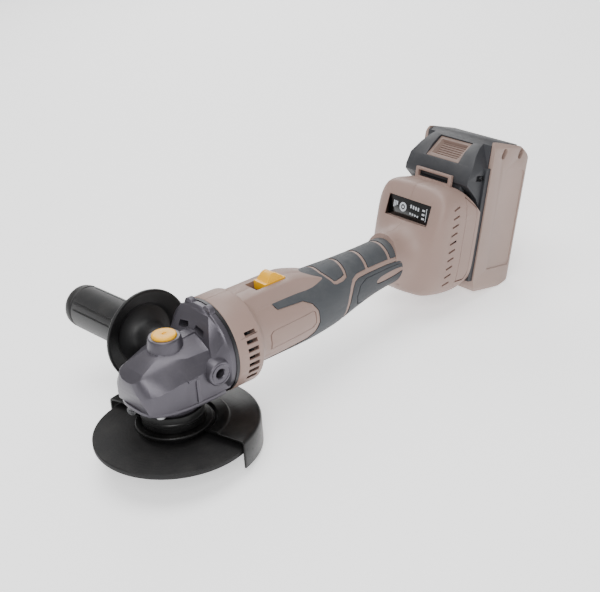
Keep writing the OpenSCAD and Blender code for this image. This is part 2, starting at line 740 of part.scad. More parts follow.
module baffle() {
  color([0.2, 0.2, 0.2]) placed() along_x(fan_x + fan_w + 0.8) difference() {
    tube(1.8, ring_r - wall - 0.1, stator_r + 0.6);
    for (a = [0, 180], s = [-1, 1]) rotate([0, 0, a + s * head_screw_side]) translate([-head_screw_r, 0, -1])
      cylinder(h = 10, r = 4.6, $fn = 32);
  }
}
module pinion() {
  hub_end = front_bearing_x - 0.4;
  color("dimgray") placed() difference() {
    along_x() rotate_extrude() polygon([
      [shaft_r - 1 + seat, pinion_in],
      [(pinion_pitch_r + addendum) * pinion_in / pinion_out, pinion_in],
      [pinion_pitch_r + addendum, pinion_out], [pinion_pitch_r + addendum - 0.4, pinion_out + 0.6],
      [pinion_pitch_r - 0.2, pinion_out + 2.4], [pinion_pitch_r - 0.2, hub_end], [shaft_r - 1 + seat, hub_end]
    ]);
    translate([0, 0, motor_z]) rotate([0, -90, 0]) rotate([0, 0, 180]) for (i = [0:pinion_teeth - 1])
      rotate([0, 0, i * 360 / pinion_teeth]) tooth_gap(pinion_angle);
  }
}
module front_bearing() {
  color("silver") placed() along_x(front_bearing_x) difference() {
    tube(front_bearing_w, front_bearing_r, shaft_r - 1 + seat);
    for (z = [-1, front_bearing_w - 0.5]) translate([0, 0, z]) tube(1.5, front_bearing_r - 1.8, shaft_r + 1.4);
  }
}
module rear_bearing() {
  color("silver") placed() along_x(rear_bearing_x) difference() {
    tube(rear_bearing_w, rear_bearing_r, shaft_r - 1 + seat);
    for (z = [-1, rear_bearing_w - 0.5]) translate([0, 0, z]) tube(1.5, rear_bearing_r - 1.6, shaft_r + 1.4);
  }
}

// ---------- casing ----------
module ring_shape(r, front, back) {
  along_x() rotate_extrude($fn = 96) polygon([
    [0, front], [r, front], [r, back - 4.5], [r - 0.7, back - 2.2], [r - 2.6, back - 0.6], [r - 5, back], [0, back]
  ]);
}
module bed_shape() {
  top = motor_z + bed_rise;
  intersection() {
    rotate([90, 0, 90]) linear_extrude(big) polygon([
      [bed_half + 6, motor_z + 16], [bed_half + 1.2, top - 2.4], [bed_half - 0.6, top],
      [-bed_half + 0.6, top], [-bed_half - 1.2, top - 2.4], [-bed_half - 6, motor_z + 16]
    ]);
    rotate([90, 0, 0]) linear_extrude(100, center = true) polygon([
      [bed_x0, motor_z + 16], [bed_x0, top - 1], [bed_x0 + 12, top], [bed_x1 - 16, top],
      [bed_x1, motor_z + 24.6], [bed_x1, motor_z + 16]
    ]);
  }
}
module casing_outer() {
  ring_shape(ring_r, ring_x, ring_end + 1.5);
  skin(body_sections, 0, 0.02);
  bed_shape();
  leaned() skin(shoe_sections, 0, 0);
  // bridge in front of the latch
  leaned() difference() {
    box([bridge_v, -bridge_half, 8], [bridge_v + bridge_t, bridge_half, bridge_up]);
    box([bridge_v - 1, -bridge_half + 3, shoe_up + 1], [bridge_v + bridge_t - 1, bridge_half - 3, bridge_up - 2]);
  }
}
module casing_inner() {
  difference() {
    along_x(ring_x - 1) cylinder(h = fan_w + 6.3, r = ring_r - wall);
    for (a = [0, 180], s = [-1, 1]) along_x(ring_x + 0.02) rotate([0, 0, a + s * head_screw_side])
      translate([-head_screw_r, 0, 0]) cylinder(h = 20, r = 3.5, $fn = 32);
  }
  along_x(ring_x + 10) cylinder(h = rear_bearing_x - 2 - ring_x - 10, r = motor_bore_r);
  along_x(rear_bearing_x - 1) cylinder(h = rear_bearing_w + 1, r = rear_bearing_r + seat);
  along_x(rear_bearing_x - 3) cylinder(h = 13, r = 6);
  intersection() {
    skin(body_sections, -wall - rubber_t + 0.3, 1);
    box([rear_room_x, -big, 0], [big, big, big]);
  }
  // channel for the switch's link, and holes for the motor's wires
  box([switch_slot_x, -link_half - 0.4, motor_z], [step_x + 4, link_half + 0.4, link_z + link_t + 0.4]);
  for (y = lead_y) translate([stator_x, y, motor_z - lead_down]) rotate([0, 90, 0]) cylinder(h = 70, r = 1.6, $fn = 24);
  leaned() difference() {
    skin(shoe_sections, -wall, -wall);
    box([channel_floor - wall, -rail_half - rail_gap - wall, channel_low - wall],
        [10, rail_half + rail_gap + wall, 60]);
  }
  leaned() for (s = [-1, 1]) translate([-15, s * 8, channel_low - 8]) cylinder(h = 12, r = 1.8, $fn = 24);
}
// places of the casing's screws: the child is drawn along +Y from the split
module at_case_screws() {
  for (p = grip_screw_at) translate([p[0], 0, p[1]]) rotate([-90, 0, 0]) children();
  for (p = shoe_screw_at) leaned() translate([p[0], 0, p[1]]) rotate([-90, 0, 0]) children();
}
module case_bosses() {
  intersection() {
    at_case_screws() cylinder(h = 60, r = case_boss_r, center = true, $fn = 32);
    union() {
      skin(body_sections, -1, 0);
      leaned() skin(shoe_sections, -1, 0);
    }
  }
}
module case_screw_holes() {
  at_case_screws() {
    translate([0, 0, -case_screw_reach]) cylinder(h = 2 * case_screw_reach, r = case_screw_d / 2 + seat, $fn = 32);
    translate([0, 0, case_screw_reach]) cylinder(h = 60, r = 3.1, $fn = 32);
  }
}
module rubber_region() {
  rotate([90, 0, 0]) linear_extrude(big, center = true) {
    polygon([
      [ring_end + 20, motor_z + 22], [ring_end + 24, motor_z + 16.5], [ring_end + 50, motor_z + 14.6],
      [ring_end + 57, motor_z + 10], [ring_end + 59, motor_z + 2], [ring_end + 58, motor_z - 8],
      [ring_end + 52, motor_z - 15.5], [ring_end + 14, motor_z - 19.5], [ring_end + 12, motor_z - 40],
      [ring_end + 161.6, motor_z - 40], [ring_end + 161.6, motor_z + 40], [ring_end + 61.5, motor_z + 40],
      [ring_end + 61.5, motor_z + 22.2]
    ]);
  }
}
module rubber_room() {
  intersection() {
    rubber_region();
    difference() {
      skin(body_sections, 3, 1);
      skin(body_sections, -rubber_t, 2);
      leaned() skin(shoe_sections, 0, 0);
    }
  }
}
module rubber_skin() {
  difference() {
    intersection() {
      rubber_region();
      skin(body_sections, rubber_proud, 0.5);
    }
    skin(body_sections, -rubber_t, 2);
  }
}
module casing_half(side) {
  y0 = side > 0 ? 0 : -big;
  y1 = side > 0 ? big : 0;
  // the moulding's curved skins are meshed as one
  color([0.68, 0.6, 0.57]) placed() resize([0, 0, 0]) difference() {
    intersection() {
      union() {
        difference() {
          casing_outer();
          casing_inner();
        }
        case_bosses();
      }
      box([-big, y0, -big], [2 * big, y1, big]);
    }
    rubber_room();
    // channel that the battery's rails slide down
    leaned() difference() {
      box([channel_floor, -rail_half - rail_gap, channel_low], [10, rail_half + rail_gap, 60]);
      for (s = [-1, 1]) translate([rib_v, s * (rail_half + rail_gap) - (s > 0 ? rib_in : 0) , channel_low])
        cube([rib_w, rib_in, 60]);
    }
    leaned() rotate([90, 0, 0]) linear_extrude(big, center = true)
      polygon([[bridge_v + bridge_t, shoe_up], [shoe_back, 2.5], [10, 2.5], [10, 60], [bridge_v + bridge_t, 60]]);
    // display window
    leaned() box([display_v - 10, -display_w / 2, display_u - display_h / 2],
                 [display_v + window_deep, display_w / 2, display_u + display_h / 2]);
    // switch slot
    box([switch_slot_x, -switch_half - 0.4, motor_z], [switch_slot_x + switch_slot_len, switch_half + 0.4, big]);
    case_screw_holes();
    // air inlets in the ring and in the shoe
    for (i = [-3:3]) translate([ring_x + 8, side > 0 ? 20 : -20 - big, motor_z - 3 + i * 5.6]) cube([9, big, 3]);
    for (i = [0:9]) leaned() translate([-31, side * 36, 6 - i * 6.6]) rotate([0, -24, 0])
      cube([7, 12, 1.6], center = true);
    for (a = [0, 180], s = [-1, 1]) along_x(0) rotate([0, 0, a + s * head_screw_side])
      translate([-head_screw_r, 0, 0]) cylinder(h = 60, r = head_screw_d / 2 - seat, $fn = 32);
  }
}
module housing_left() {
  casing_half(1);
}
module housing_right() {
  casing_half(-1);
}
module rubber_half(side) {
  y0 = side > 0 ? 0 : -big;
  y1 = side > 0 ? big : 0;
  color([0.4, 0.42, 0.44]) placed() resize([0, 0, 0]) difference() {
    intersection() {
      rubber_skin();
      box([-big, y0, -big], [2 * big, y1, big]);
    }
    case_screw_holes();
    leaned() skin(shoe_sections, 0, 0);
    bed_shape();
  }
}
module rubber_left() {
  rubber_half(1);
}
module rubber_right() {
  rubber_half(-1);
}

module housing_screws() {
  color("silver") placed() at_case_screws() translate([0, 0, case_screw_reach]) rotate([180, 0, 0])
    screw(case_screw_d, 5.6, 2.2, 2 * case_screw_reach);
}

// ---------- switch and electronics ----------
module switch_knob() {
  top = motor_z + bed_rise;
  color([0.94, 0.72, 0.16]) placed() union() {
    box([knob_x, -switch_half, link_z + link_t], [knob_x + knob_len, switch_half, top + 1.2]);
    rotate([90, 0, 0]) linear_extrude(2 * switch_half - 3, center = true) polygon([
      [knob_x + 3, top + 1], [knob_x + 5, top + 5], [knob_x + 7.5, top + 6.6], [knob_x + 10.5, top + 6.6],
      [knob_x + 13.5, top + 4.4], [knob_x + 18, top + 2.4], [knob_x + knob_len - 0.4, top + 1]
    ]);
  }
}
module switch_link() {
  peg_x = power_switch_x + switch_travel + 1.5;
  color([0.2, 0.2, 0.2]) placed() union() {
    box([knob_x, -link_half, link_z], [step_x + 2, link_half, link_z + link_t]);
    box([step_x, -link_half, low_link_z], [step_x + 2, link_half, link_z + link_t]);
    box([step_x, -link_half, low_link_z], [peg_x + 4, link_half, low_link_z + 1.6]);
    box([peg_x, -2, low_link_z - 2.5], [peg_x + 2, 2, low_link_z + 0.5]);
  }
}
module power_switch() {
  color([0.1, 0.1, 0.1]) placed() difference() {
    box([power_switch_x, -7, low_link_z - 12], [power_switch_x + 20, 7, low_link_z - 0.4]);
    box([power_switch_x + 1, -2.4, low_link_z - 3], [power_switch_x + switch_travel + 4, 2.4, low_link_z + 1]);
  }
}
module control_board() {
  color("darkgreen") placed() union() {
    box([board_x, -10.5, board_z], [board_x + board_len, 10.5, board_z + 1.6]);
    for (i = [0:2], s = [-1, 1]) box([board_x + 4 + i * 8, s * 5 - 3, board_z + 1.6], [board_x + 10 + i * 8, s * 5 + 3, board_z + 4]);
    translate([board_x + 34, 0, board_z + 1.6]) cylinder(h = 7, r = 4.5, $fn = 32);
    box([board_x + 2, -9, board_z - 2.4], [board_x + 26, 9, board_z]);
  }
}
module motor_leads() {
  low = motor_z - lead_down;
  far = board_x + 3;
  start = stator_x + stator_len + winding_over + 2.22;
  color([0.2, 0.35, 0.7]) placed() for (y = lead_y) union() {
    translate([start, y, low]) rotate([0, 90, 0]) cylinder(h = far - start, r = 1.1, $fn = 24);
    translate([far, y, low]) sphere(r = 1.1, $fn = 24);
    translate([far, y, low]) cylinder(h = board_z - 2.4 - low, r = 1.1, $fn = 24);
  }
}
module rod_between(a, b, r) {
  d = b - a;
  translate(a) rotate([0, acos(d[2] / norm(d)), atan2(d[1], d[0])]) cylinder(h = norm(d), r = r, $fn = 24);
}
function from_lean(p) = [shoe_x + p[0] * cos(lean) + p[2] * sin(lean), p[1], shoe_z - p[0] * sin(lean) + p[2] * cos(lean)];
module battery_leads() {
  color([0.7, 0.12, 0.1]) placed() for (s = [-1, 1]) {
    way = [
      [board_x + board_len - 1, s * 8, board_z - 1.65],
      from_lean([-27, s * 8, -25]),
      from_lean([-27, s * 8, channel_low - 7]),
      from_lean([-15, s * 8, channel_low - 7]),
      from_lean([-15, s * 8, channel_low])
    ];
    union() {
      for (i = [0:3]) rod_between(way[i], way[i + 1], 1.4);
      for (i = [1:3]) translate(way[i]) sphere(r = 1.6, $fn = 24);
    }
  }
}
blade_at = [-12, -4, 4, 12];
module terminal_block() {
  color([0.15, 0.15, 0.15]) placed() leaned() union() {
    box([channel_floor, -rail_half + 4, channel_low], [shoe_back - 1.6, rail_half - 4, rail_low - 0.8]);
    for (y = blade_at) box([-17, y - 0.4, rail_low - 1], [-11, y + 0.4, rail_low + 11]);
  }
}
module display_panel() {
  color([0.05, 0.05, 0.06]) placed() leaned()
    box([display_v, -display_w / 2 + 0.1, display_u - display_h / 2 + 0.1],
        [display_v + window_deep - 0.1, display_w / 2 - 0.1, display_u + display_h / 2 - 0.1]);
}
module display_board() {
  back = display_v + window_deep;
  color("darkgreen") placed() leaned()
    box([back + 0.1, -display_w / 2 + 3, display_u - display_h / 2 + 2],
        [back + 1.7, display_w / 2 - 3, display_u + display_h / 2 - 2]);
}

// ---------- battery pack ----------
function pack_side(grow = 0) = [
  [-grow, -pack_down + 10], [7, -pack_down - grow], [33, -pack_down + 3 - grow], [42, -pack_down + 8 - grow],
  [pack_t + grow, -pack_down + 14], [pack_t + grow, 38], [39 + grow, 48 + grow], [32, 53 + grow],
  [4, pack_up + grow], [-grow, pack_up + grow]
];
module pack_shape(grow) {
  intersection() {
    rotate([90, 0, 0]) linear_extrude(2 * pack_half + 2 * grow, center = true) polygon(pack_side(grow));
    rotate([0, 90, 0]) translate([0, 0, -20]) linear_extrude(100)
      polygon([for (p = round_rect(pack_down + pack_up + 2 * grow + 4, 2 * pack_half + 2 * grow, 9))
        [p[0] + (pack_down - pack_up) / 2, p[1]]]);
    linear_extrude(big, center = true)
      polygon([for (p = round_rect(2 * pack_t + 2 * grow, 2 * pack_half + 2 * grow, 6)) p]);
  }
}
top_cap_v = 30;
head_side = [
  [0, 6], [plate_v, 6], [-9, 12.5], [-21.6, 22.6], [-21.6, 26.4], [-18.2, 36], [-12, 45], [-6, 50.5], [0, 54],
  [5, pack_up], [top_cap_v, pack_up - 2], [top_cap_v, 40], [0, 40]
];
head_half_top = 32.6;
module pack_case() {
  color([0.7, 0.64, 0.6]) placed() leaned() difference() {
    pack_shape(0);
    intersection() {
      pack_shape(-pack_wall);
      box([-1, -big, -big], [big, big, pack_up - 17]);
    }
    box([-1, -head_half_top - 0.02, 39], [top_cap_v + 0.02, head_half_top + 0.02, big]);
    at_pack_screws() cylinder(h = 5, r = 1.3 + seat, $fn = 32);
    // recess for the label and two oval notches on each side
    for (s = [-1, 1]) {
      box([15, s * (pack_half + 5) - 5.6, -46], [38, s * (pack_half + 5) + 5.6, 34]);
      for (v = [12, 32]) translate([v, s * pack_half, 48]) rotate([0, 24, 0]) cube([3.4, 3, 7], center = true);
    }
  }
}
module on_latch() {
  translate([-9.6, 0, 43.6]) rotate([0, -44, 0]) children();
}
latch_half = 16.5;
latch_len = 20.4;
latch_t = 4.6;
module pack_top() {
  inner = rail_half - rib_in - 2.6;
  color([0.28, 0.28, 0.3]) placed() leaned() difference() {
    union() {
      box([plate_v, -pack_half + 1.4, -pack_down + 10], [0, pack_half - 1.4, 36]);
      box([channel_floor + 0.5, -rail_half, rail_low], [plate_v + 1, rail_half, 26]);
      rotate([90, 0, 0]) linear_extrude(2 * head_half_top, center = true) polygon(head_side);
    }
    at_pack_screws() {
      cylinder(h = 5, r = 1.3 + seat, $fn = 32);
      translate([0, 0, -9]) cylinder(h = 9, r = 2.7, $fn = 32);
    }
    // grooves that the shoe's ribs run in
    for (s = [-1, 1]) translate([rib_v - rail_gap, s > 0 ? rail_half - rib_in - rail_gap : -rail_half - 1, rail_low - 1])
      cube([rib_w + 2 * rail_gap, rib_in + rail_gap + 1, 20 - rail_low]);
    // room for the sockets, and the slots that the blades enter
    box([channel_floor + 2.4, -inner, rail_low + 2], [plate_v + 2, inner, 12]);
    for (y = blade_at) box([-18, y - 0.8, rail_low - 1], [-10, y + 0.8, rail_low + 3]);
    // pocket of the release button
    on_latch() box([-latch_len / 2 - 0.3, -latch_half - 0.3, -latch_n_deep], [latch_len / 2 + 0.3, latch_half + 0.3, 20]);
    // sides of the head slope in
    for (s = [-1, 1]) translate([-40, s * head_half_top, 36]) rotate([s * 24, 0, 0]) translate([0, s > 0 ? 0 : -20, 0])
      cube([39, 20, 40]);
  }
}
latch_n_deep = latch_t + latch_travel + 0.6;
module latch_button() {
  color([0.6, 0.53, 0.49]) placed() leaned() on_latch() difference() {
    box([-latch_len / 2, -latch_half, -latch_t], [latch_len / 2, latch_half, 0.6]);
    box([-latch_len / 2 + 2, -latch_half + 2, -2.2], [latch_len / 2 - 2, latch_half - 2, 2]);
    for (s = [-1, 1]) translate([0, s * 9, -latch_t - 1]) cylinder(h = 2.2, r = 2.8, $fn = 32);
  }
}
module latch_spring() {
  color("silver") placed() leaned() on_latch() for (s = [-1, 1]) translate([0, s * 9, -latch_n_deep + 0.02])
    coil(2.1, 0.35, 4, latch_travel + 0.6 + 1.1);
}
module pack_board() {
  color("darkgreen") placed() leaned() union() {
    box([-10.8, -rail_half + 8, rail_low + 4], [-9.3, rail_half - 8, 10]);
    for (y = blade_at, s = [-1, 1])
      box([-17.2, y + s * 0.9 - 0.25, rail_low + 3.4], [-10.8, y + s * 0.9 + 0.25, rail_low + 12]);
  }
}
cell_start = -pack_down + 15.2;
cell_v_at = [12.4, 31.4];
module pack_cells() {
  color([0.15, 0.45, 0.6]) placed() leaned() for (i = [0:cell_rows - 1], v = cell_v_at)
    translate([v, 0, cell_start + i * cell_pitch]) rotate([90, 0, 0]) cylinder(h = cell_len, d = cell_d, center = true);
}
module cell_frame() {
  low = cell_start - 4.5;
  high = cell_start + (cell_rows - 1) * cell_pitch + cell_d / 2 - 1;
  color([0.2, 0.2, 0.2]) placed() leaned() difference() {
    for (s = [-1, 1]) box([2.05, s * 28 - 2, low], [36, s * 28 + 2, high]);
    for (i = [0:cell_rows - 1], v = cell_v_at)
      translate([v, 0, cell_start + i * cell_pitch]) rotate([90, 0, 0]) cylinder(h = 80, r = cell_d / 2 + seat, center = true);
  }
}
module at_pack_screws() {
  for (s = [-1, 1], u = [-46, 28]) translate([plate_v + 1.8, s * 31, u]) rotate([0, 90, 0]) children();
}
module pack_screws() {
  color("silver") placed() leaned() at_pack_screws() screw(2.6, 5, 1.6, 4.4);
}

// ---------- side handle ----------
module side_handle() {
  stud_r = 4;
  rim = handle_rim;
  color([0.13, 0.13, 0.14]) placed() on_socket(1) difference() {
    rotate_extrude($fn = 96) polygon([
      [stud_r + seat, socket_face + 4], [9.5, socket_face + 4], [10, rim - 2], [14, rim + 3], [22, rim + 4.6],
      [22.8, rim + 2.6], [29, rim + 1.4], [32.6, rim - 1], [handle_flange_r, rim - 0.6], [handle_flange_r, rim + 1.6],
      [30, rim + 6.4], [22, rim + 9], [handle_r + 0.4, rim + 12.5], [handle_r, rim + 16], [handle_r, handle_end - 15],
      [handle_r - 0.9, handle_end - 14.2], [handle_r - 0.9, handle_end - 12.6], [handle_r, handle_end - 11.8],
      [handle_r - 0.5, handle_end - 6], [handle_r - 3, handle_end - 2.2], [handle_r - 7, handle_end - 0.4],
      [tip_flat_r, handle_end], [0, handle_end], [0, rim + 24], [stud_r + seat, rim + 24]
    ]);
    for (i = [0:2]) rotate([0, 0, i * 120 + 25]) for (s = [-1, 1]) rotate([0, 0, s * 7])
      translate([handle_r, 0, rim + 19]) cylinder(h = handle_end - rim - 38, r = 0.7, $fn = 16);
  }
}
module handle_stud() {
  color("silver") placed() on_socket(1) union() {
    translate([0, 0, socket_face - socket_depth + 2]) cylinder(h = socket_depth - 1.9, r = socket_d / 2 - fit);
    translate([0, 0, socket_face + 0.05]) cylinder(h = handle_rim + 23 - socket_face, r = 4);
    translate([0, 0, socket_face + 0.05]) cylinder(h = 3.9, r = 6.4, $fn = 6);
  }
}

gear_housing();
bearing_cover();
cover_screws();
head_screws();
mounting_plate();
spindle_bearing();
spindle_bush();
front_bearing();
rear_bearing();
stator();
windings();
sensor_board();
baffle();
housing_left();
housing_right();
rubber_left();
rubber_right();
housing_screws();
power_switch();
control_board();
motor_leads();
battery_leads();
terminal_block();
display_panel();
display_board();
side_handle();
handle_stud();
spindle();
ring_gear();
gear_circlip();
inner_flange();
grinding_disc();
lock_nut();
motor_shaft();
rotor();
fan();
pinion();
lock_button();
lock_plunger();
lock_spring();
switch_knob();
switch_link();
guard();
guard_band();
clamp_screw();
clamp_nut();
pack_case();
pack_top();
pack_cells();
cell_frame();
pack_board();
pack_screws();
latch_button();
latch_spring();
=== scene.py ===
import json
import math
import bmesh
import bpy
from mathutils import Matrix, Vector


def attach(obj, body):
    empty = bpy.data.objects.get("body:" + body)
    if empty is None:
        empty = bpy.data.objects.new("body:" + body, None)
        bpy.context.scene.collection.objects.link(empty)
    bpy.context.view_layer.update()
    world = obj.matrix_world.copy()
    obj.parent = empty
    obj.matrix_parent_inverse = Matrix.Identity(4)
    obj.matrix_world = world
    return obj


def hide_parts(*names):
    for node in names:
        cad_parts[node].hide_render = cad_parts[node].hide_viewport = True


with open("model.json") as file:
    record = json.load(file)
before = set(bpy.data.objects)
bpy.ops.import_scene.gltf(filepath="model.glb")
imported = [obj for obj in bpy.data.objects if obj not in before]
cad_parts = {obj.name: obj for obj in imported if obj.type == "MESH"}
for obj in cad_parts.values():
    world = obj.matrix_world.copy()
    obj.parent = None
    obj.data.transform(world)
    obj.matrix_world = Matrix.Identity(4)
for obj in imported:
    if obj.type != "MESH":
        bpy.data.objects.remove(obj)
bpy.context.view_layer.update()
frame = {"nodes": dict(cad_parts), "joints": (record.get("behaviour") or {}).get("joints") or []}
nodes = frame["nodes"]
joints = {j["name"]: j for j in frame["joints"]}
print("frame loaded:", len(nodes), "nodes")

# Lengths are millimetres on the tool: x from the spindle along the motor,
# y towards the side handle, z up from the disc.
motorHeight = 58
spindleAt = joints["spindle_spin"]["pos_m"]
discLevel = joints["rotor_spin"]["pos_m"][2] - motorHeight / 1000


def place(x, y, z):
    return Vector((spindleAt[0] + x / 1000, spindleAt[1] + y / 1000, discLevel + z / 1000))


def upright(t, p, q):  # t up the spindle, p and q across it
    return place(p, q, t)


def onMotor(a, y, z):  # a runs along the motor, y and z from its axis
    return place(a, y, motorHeight + z)


shoeLean = {"x": 279, "z": 88, "angle": math.radians(14)}


def onShoe(v, w, u):  # v towards the battery, w sideways, u up the battery's slide
    c, s = math.cos(shoeLean["angle"]), math.sin(shoeLean["angle"])
    return place(shoeLean["x"] + v * c + u * s, w, shoeLean["z"] - v * s + u * c)


latchSeat = {"v": -9.6, "u": 43.6, "angle": math.radians(44)}


def onLatch(a, w, n):  # a up the sloping face of the pack's cap, w sideways, n out of it
    c, s = math.cos(latchSeat["angle"]), math.sin(latchSeat["angle"])
    return onShoe(latchSeat["v"] + a * c - n * s, w, latchSeat["u"] + a * s + n * c)


handleSeat = {"x": 20.3, "z": 55.5, "dip": math.radians(3.5)}


def onHandle(t, p, q, side=1):  # t out along the side handle
    c, s = math.cos(handleSeat["dip"]), math.sin(handleSeat["dip"])
    return place(handleSeat["x"] + p, side * (t * c + q * s), handleSeat["z"] - t * s + q * c)


def onRightSocket(t, p, q):
    return onHandle(t, p, q, -1)


guardTurn = math.radians(14.4)


def inGuard(x, y, z):  # as the guard is clamped, turned a little about the spindle
    c, s = math.cos(guardTurn), math.sin(guardTurn)
    return place(x * c - y * s, x * s + y * c, z)


def upGuard(t, p, q):
    return inGuard(p, q, t)


def sideSpan(side, near, far):  # from near to far on one side of the middle plane, lowest first
    return (near, far) if side > 0 else (-far, -near)


def turned(points, angle, x, y):  # turned about their own origin, then put at x, y
    c, s = math.cos(angle), math.sin(angle)
    return [(x + a * c - b * s, y + a * s + b * c) for a, b in points]


def angles(start, end, step):
    return [math.radians(d) for d in range(start, end, step)]


def mirrored(points):  # an outline's half, closed by its mirror image
    return points + [(x, -y, *rest) for x, y, *rest in reversed(points) if y]


def newObject(name, data):
    obj = bpy.data.objects.new(name, data)
    bpy.context.scene.collection.objects.link(obj)
    return obj


def clean(mesh, merge=0, tiny=0, flat=0, faceOut=False):
    # merges points and short edges in metres, and faces within an angle in degrees
    bm = bmesh.new()
    bm.from_mesh(mesh)
    if merge:
        bmesh.ops.remove_doubles(bm, verts=bm.verts, dist=merge)
    if tiny:
        bmesh.ops.dissolve_degenerate(bm, edges=bm.edges, dist=tiny)
    if flat:
        bmesh.ops.dissolve_limit(bm, angle_limit=math.radians(flat), verts=bm.verts, edges=bm.edges)
    if faceOut:
        bmesh.ops.recalc_face_normals(bm, faces=bm.faces)
    bm.to_mesh(mesh)
    bm.free()


def meshFrom(name, points, faces, where=place):
    mesh = bpy.data.meshes.new(name)
    mesh.from_pydata([where(*p) for p in points], [], faces)
    clean(mesh, faceOut=True)
    return newObject(name, mesh)


def prism(name, outline, low, high, axis, where=place):
    def point(a, b, h):
        return {"x": (h, a, b), "y": (a, h, b), "z": (a, b, h)}[axis]
    count = len(outline)
    points = [point(a, b, low) for a, b in outline] + [point(a, b, high) for a, b in outline]
    faces = [list(range(count))[::-1], list(range(count, 2 * count))]
    faces += [[i, (i + 1) % count, count + (i + 1) % count, count + i] for i in range(count)]
    return meshFrom(name, points, faces, where)


def block(name, low, high, where=place):
    outline = [(low[0], low[1]), (high[0], low[1]), (high[0], high[1]), (low[0], high[1])]
    return prism(name, outline, low[2], high[2], "z", where)


def lathe(name, profile, where, count=128, start=0, turn=360):
    # profile is (along, radius); a full turn closes on itself, a part turn gets end faces
    full = turn >= 360
    steps = count if full else count + 1
    ringCount = len(profile)
    points = []
    for i in range(steps):
        a = math.radians(start + turn * i / count)
        points += [(t, r * math.cos(a), r * math.sin(a)) for t, r in profile]
    faces = []
    for i in range(count):
        j = (i + 1) % steps
        for k in range(ringCount):
            m = (k + 1) % ringCount
            faces.append([i * ringCount + k, i * ringCount + m, j * ringCount + m, j * ringCount + k])
    if not full:
        faces += [list(range(ringCount))[::-1], [count * ringCount + k for k in range(ringCount)]]
    obj = meshFrom(name, points, faces, where)
    clean(obj.data, merge=1e-7, tiny=1e-8, faceOut=True)
    return obj


def ringFaces(count, rings):
    # quads between rings of points that follow each other
    faces = []
    for k in range(rings - 1):
        low, high = k * count, (k + 1) * count
        faces += [[low + i, low + (i + 1) % count, high + (i + 1) % count, high + i] for i in range(count)]
    return faces


def rod(name, low, high, r, where, count=128):
    return lathe(name, [(low, 0), (low, r), (high, r), (high, 0)], where, count)


def smoothSections(sections, step):
    # more sections between the given ones, on a smooth curve through them
    out = []
    for k in range(len(sections) - 1):
        a, b = sections[k], sections[k + 1]
        before = sections[k - 1] if k else a
        after = sections[k + 2] if k + 2 < len(sections) else b
        length = b[0] - a[0]
        pieces = max(1, round(length / step))
        for i in range(pieces):
            t = i / pieces
            row = [a[0] + length * t]
            for n in range(1, 5):
                slopeA = (b[n] - before[n]) / (b[0] - before[0]) * length
                slopeB = (after[n] - a[n]) / (after[0] - a[0]) * length
                h = 2 * t ** 3 - 3 * t ** 2
                row.append((h + 1) * a[n] - h * b[n] + (t ** 3 - 2 * t ** 2 + t) * slopeA
                           + (t ** 3 - t ** 2) * slopeB)
            out.append(row)
    return out + [list(sections[-1])]


def signedPower(value, power):
    return math.copysign(abs(value) ** power, value)


def loft(name, sections, where, grow=0, stretch=0, count=104, step=2.2):
    # each section is (along, half width, top, bottom, squareness)
    rows = smoothSections(sections, step)
    rows[0][0] -= stretch
    rows[-1][0] += stretch
    points = []
    for s in rows:
        power = 2 / s[4]
        for i in range(count):
            a = 2 * math.pi * (i + 0.5) / count
            points.append((s[0], (s[1] + grow) * signedPower(math.cos(a), power),
                           (s[2] + s[3]) / 2 + ((s[2] - s[3]) / 2 + grow) * signedPower(math.sin(a), power)))
    faces = [list(range(count))[::-1], [(len(rows) - 1) * count + i for i in range(count)]]
    return meshFrom(name, points, faces + ringFaces(count, len(rows)), where)


def hullOf(name, points, where=place):
    bm = bmesh.new()
    for p in points:
        bm.verts.new(where(*p))
    result = bmesh.ops.convex_hull(bm, input=bm.verts)
    loose = {e for e in result["geom_interior"] + result["geom_unused"] if isinstance(e, bmesh.types.BMVert)}
    bmesh.ops.delete(bm, geom=list(loose), context="VERTS")
    bmesh.ops.dissolve_limit(bm, angle_limit=math.radians(0.5), verts=bm.verts, edges=bm.edges)
    bmesh.ops.recalc_face_normals(bm, faces=bm.faces)
    mesh = bpy.data.meshes.new(name)
    bm.to_mesh(mesh)
    bm.free()
    return newObject(name, mesh)


def applyModifiers(obj):
    bpy.context.view_layer.update()
    mesh = bpy.data.meshes.new_from_object(obj.evaluated_get(bpy.context.evaluated_depsgraph_get()))
    old = obj.data
    obj.modifiers.clear()
    obj.data = mesh
    bpy.data.meshes.remove(old)
    return obj


def join(objects):
    first = bmesh.new()
    for o in objects:
        first.from_mesh(o.data)
    first.to_mesh(objects[0].data)
    first.free()
    for o in objects[1:]:
        bpy.data.objects.remove(o)
    return objects[0]


def combine(target, tool, how):
    modifier = target.modifiers.new("combine", "BOOLEAN")
    modifier.operation, modifier.solver, modifier.object = how, "MANIFOLD", tool
    applyModifiers(target)
    bpy.data.objects.remove(tool)
    return target


def cut(target, tool):
    return combine(target, tool, "DIFFERENCE")


def add(target, tool):
    return combine(target, tool, "UNION")


def common(target, tool):
    return combine(target, tool, "INTERSECT")


def copyOf(obj, name):
    return newObject(name, obj.data.copy())


def soften(obj, width, angle=34, segments=2, smooth=38):
    clean(obj.data, merge=8e-6, tiny=8e-6, flat=0.4)
    if width:
        bevel = obj.modifiers.new("soft edges", "BEVEL")
        bevel.width, bevel.segments = width / 1000, segments
        bevel.limit_method, bevel.angle_limit = "ANGLE", math.radians(angle)
        bevel.miter_outer = "MITER_ARC"
        bevel.use_clamp_overlap = True
        applyModifiers(obj)
    obj.data.polygons.foreach_set("use_smooth", [True] * len(obj.data.polygons))
    obj.data.set_sharp_from_angle(angle=math.radians(smooth))
    return obj


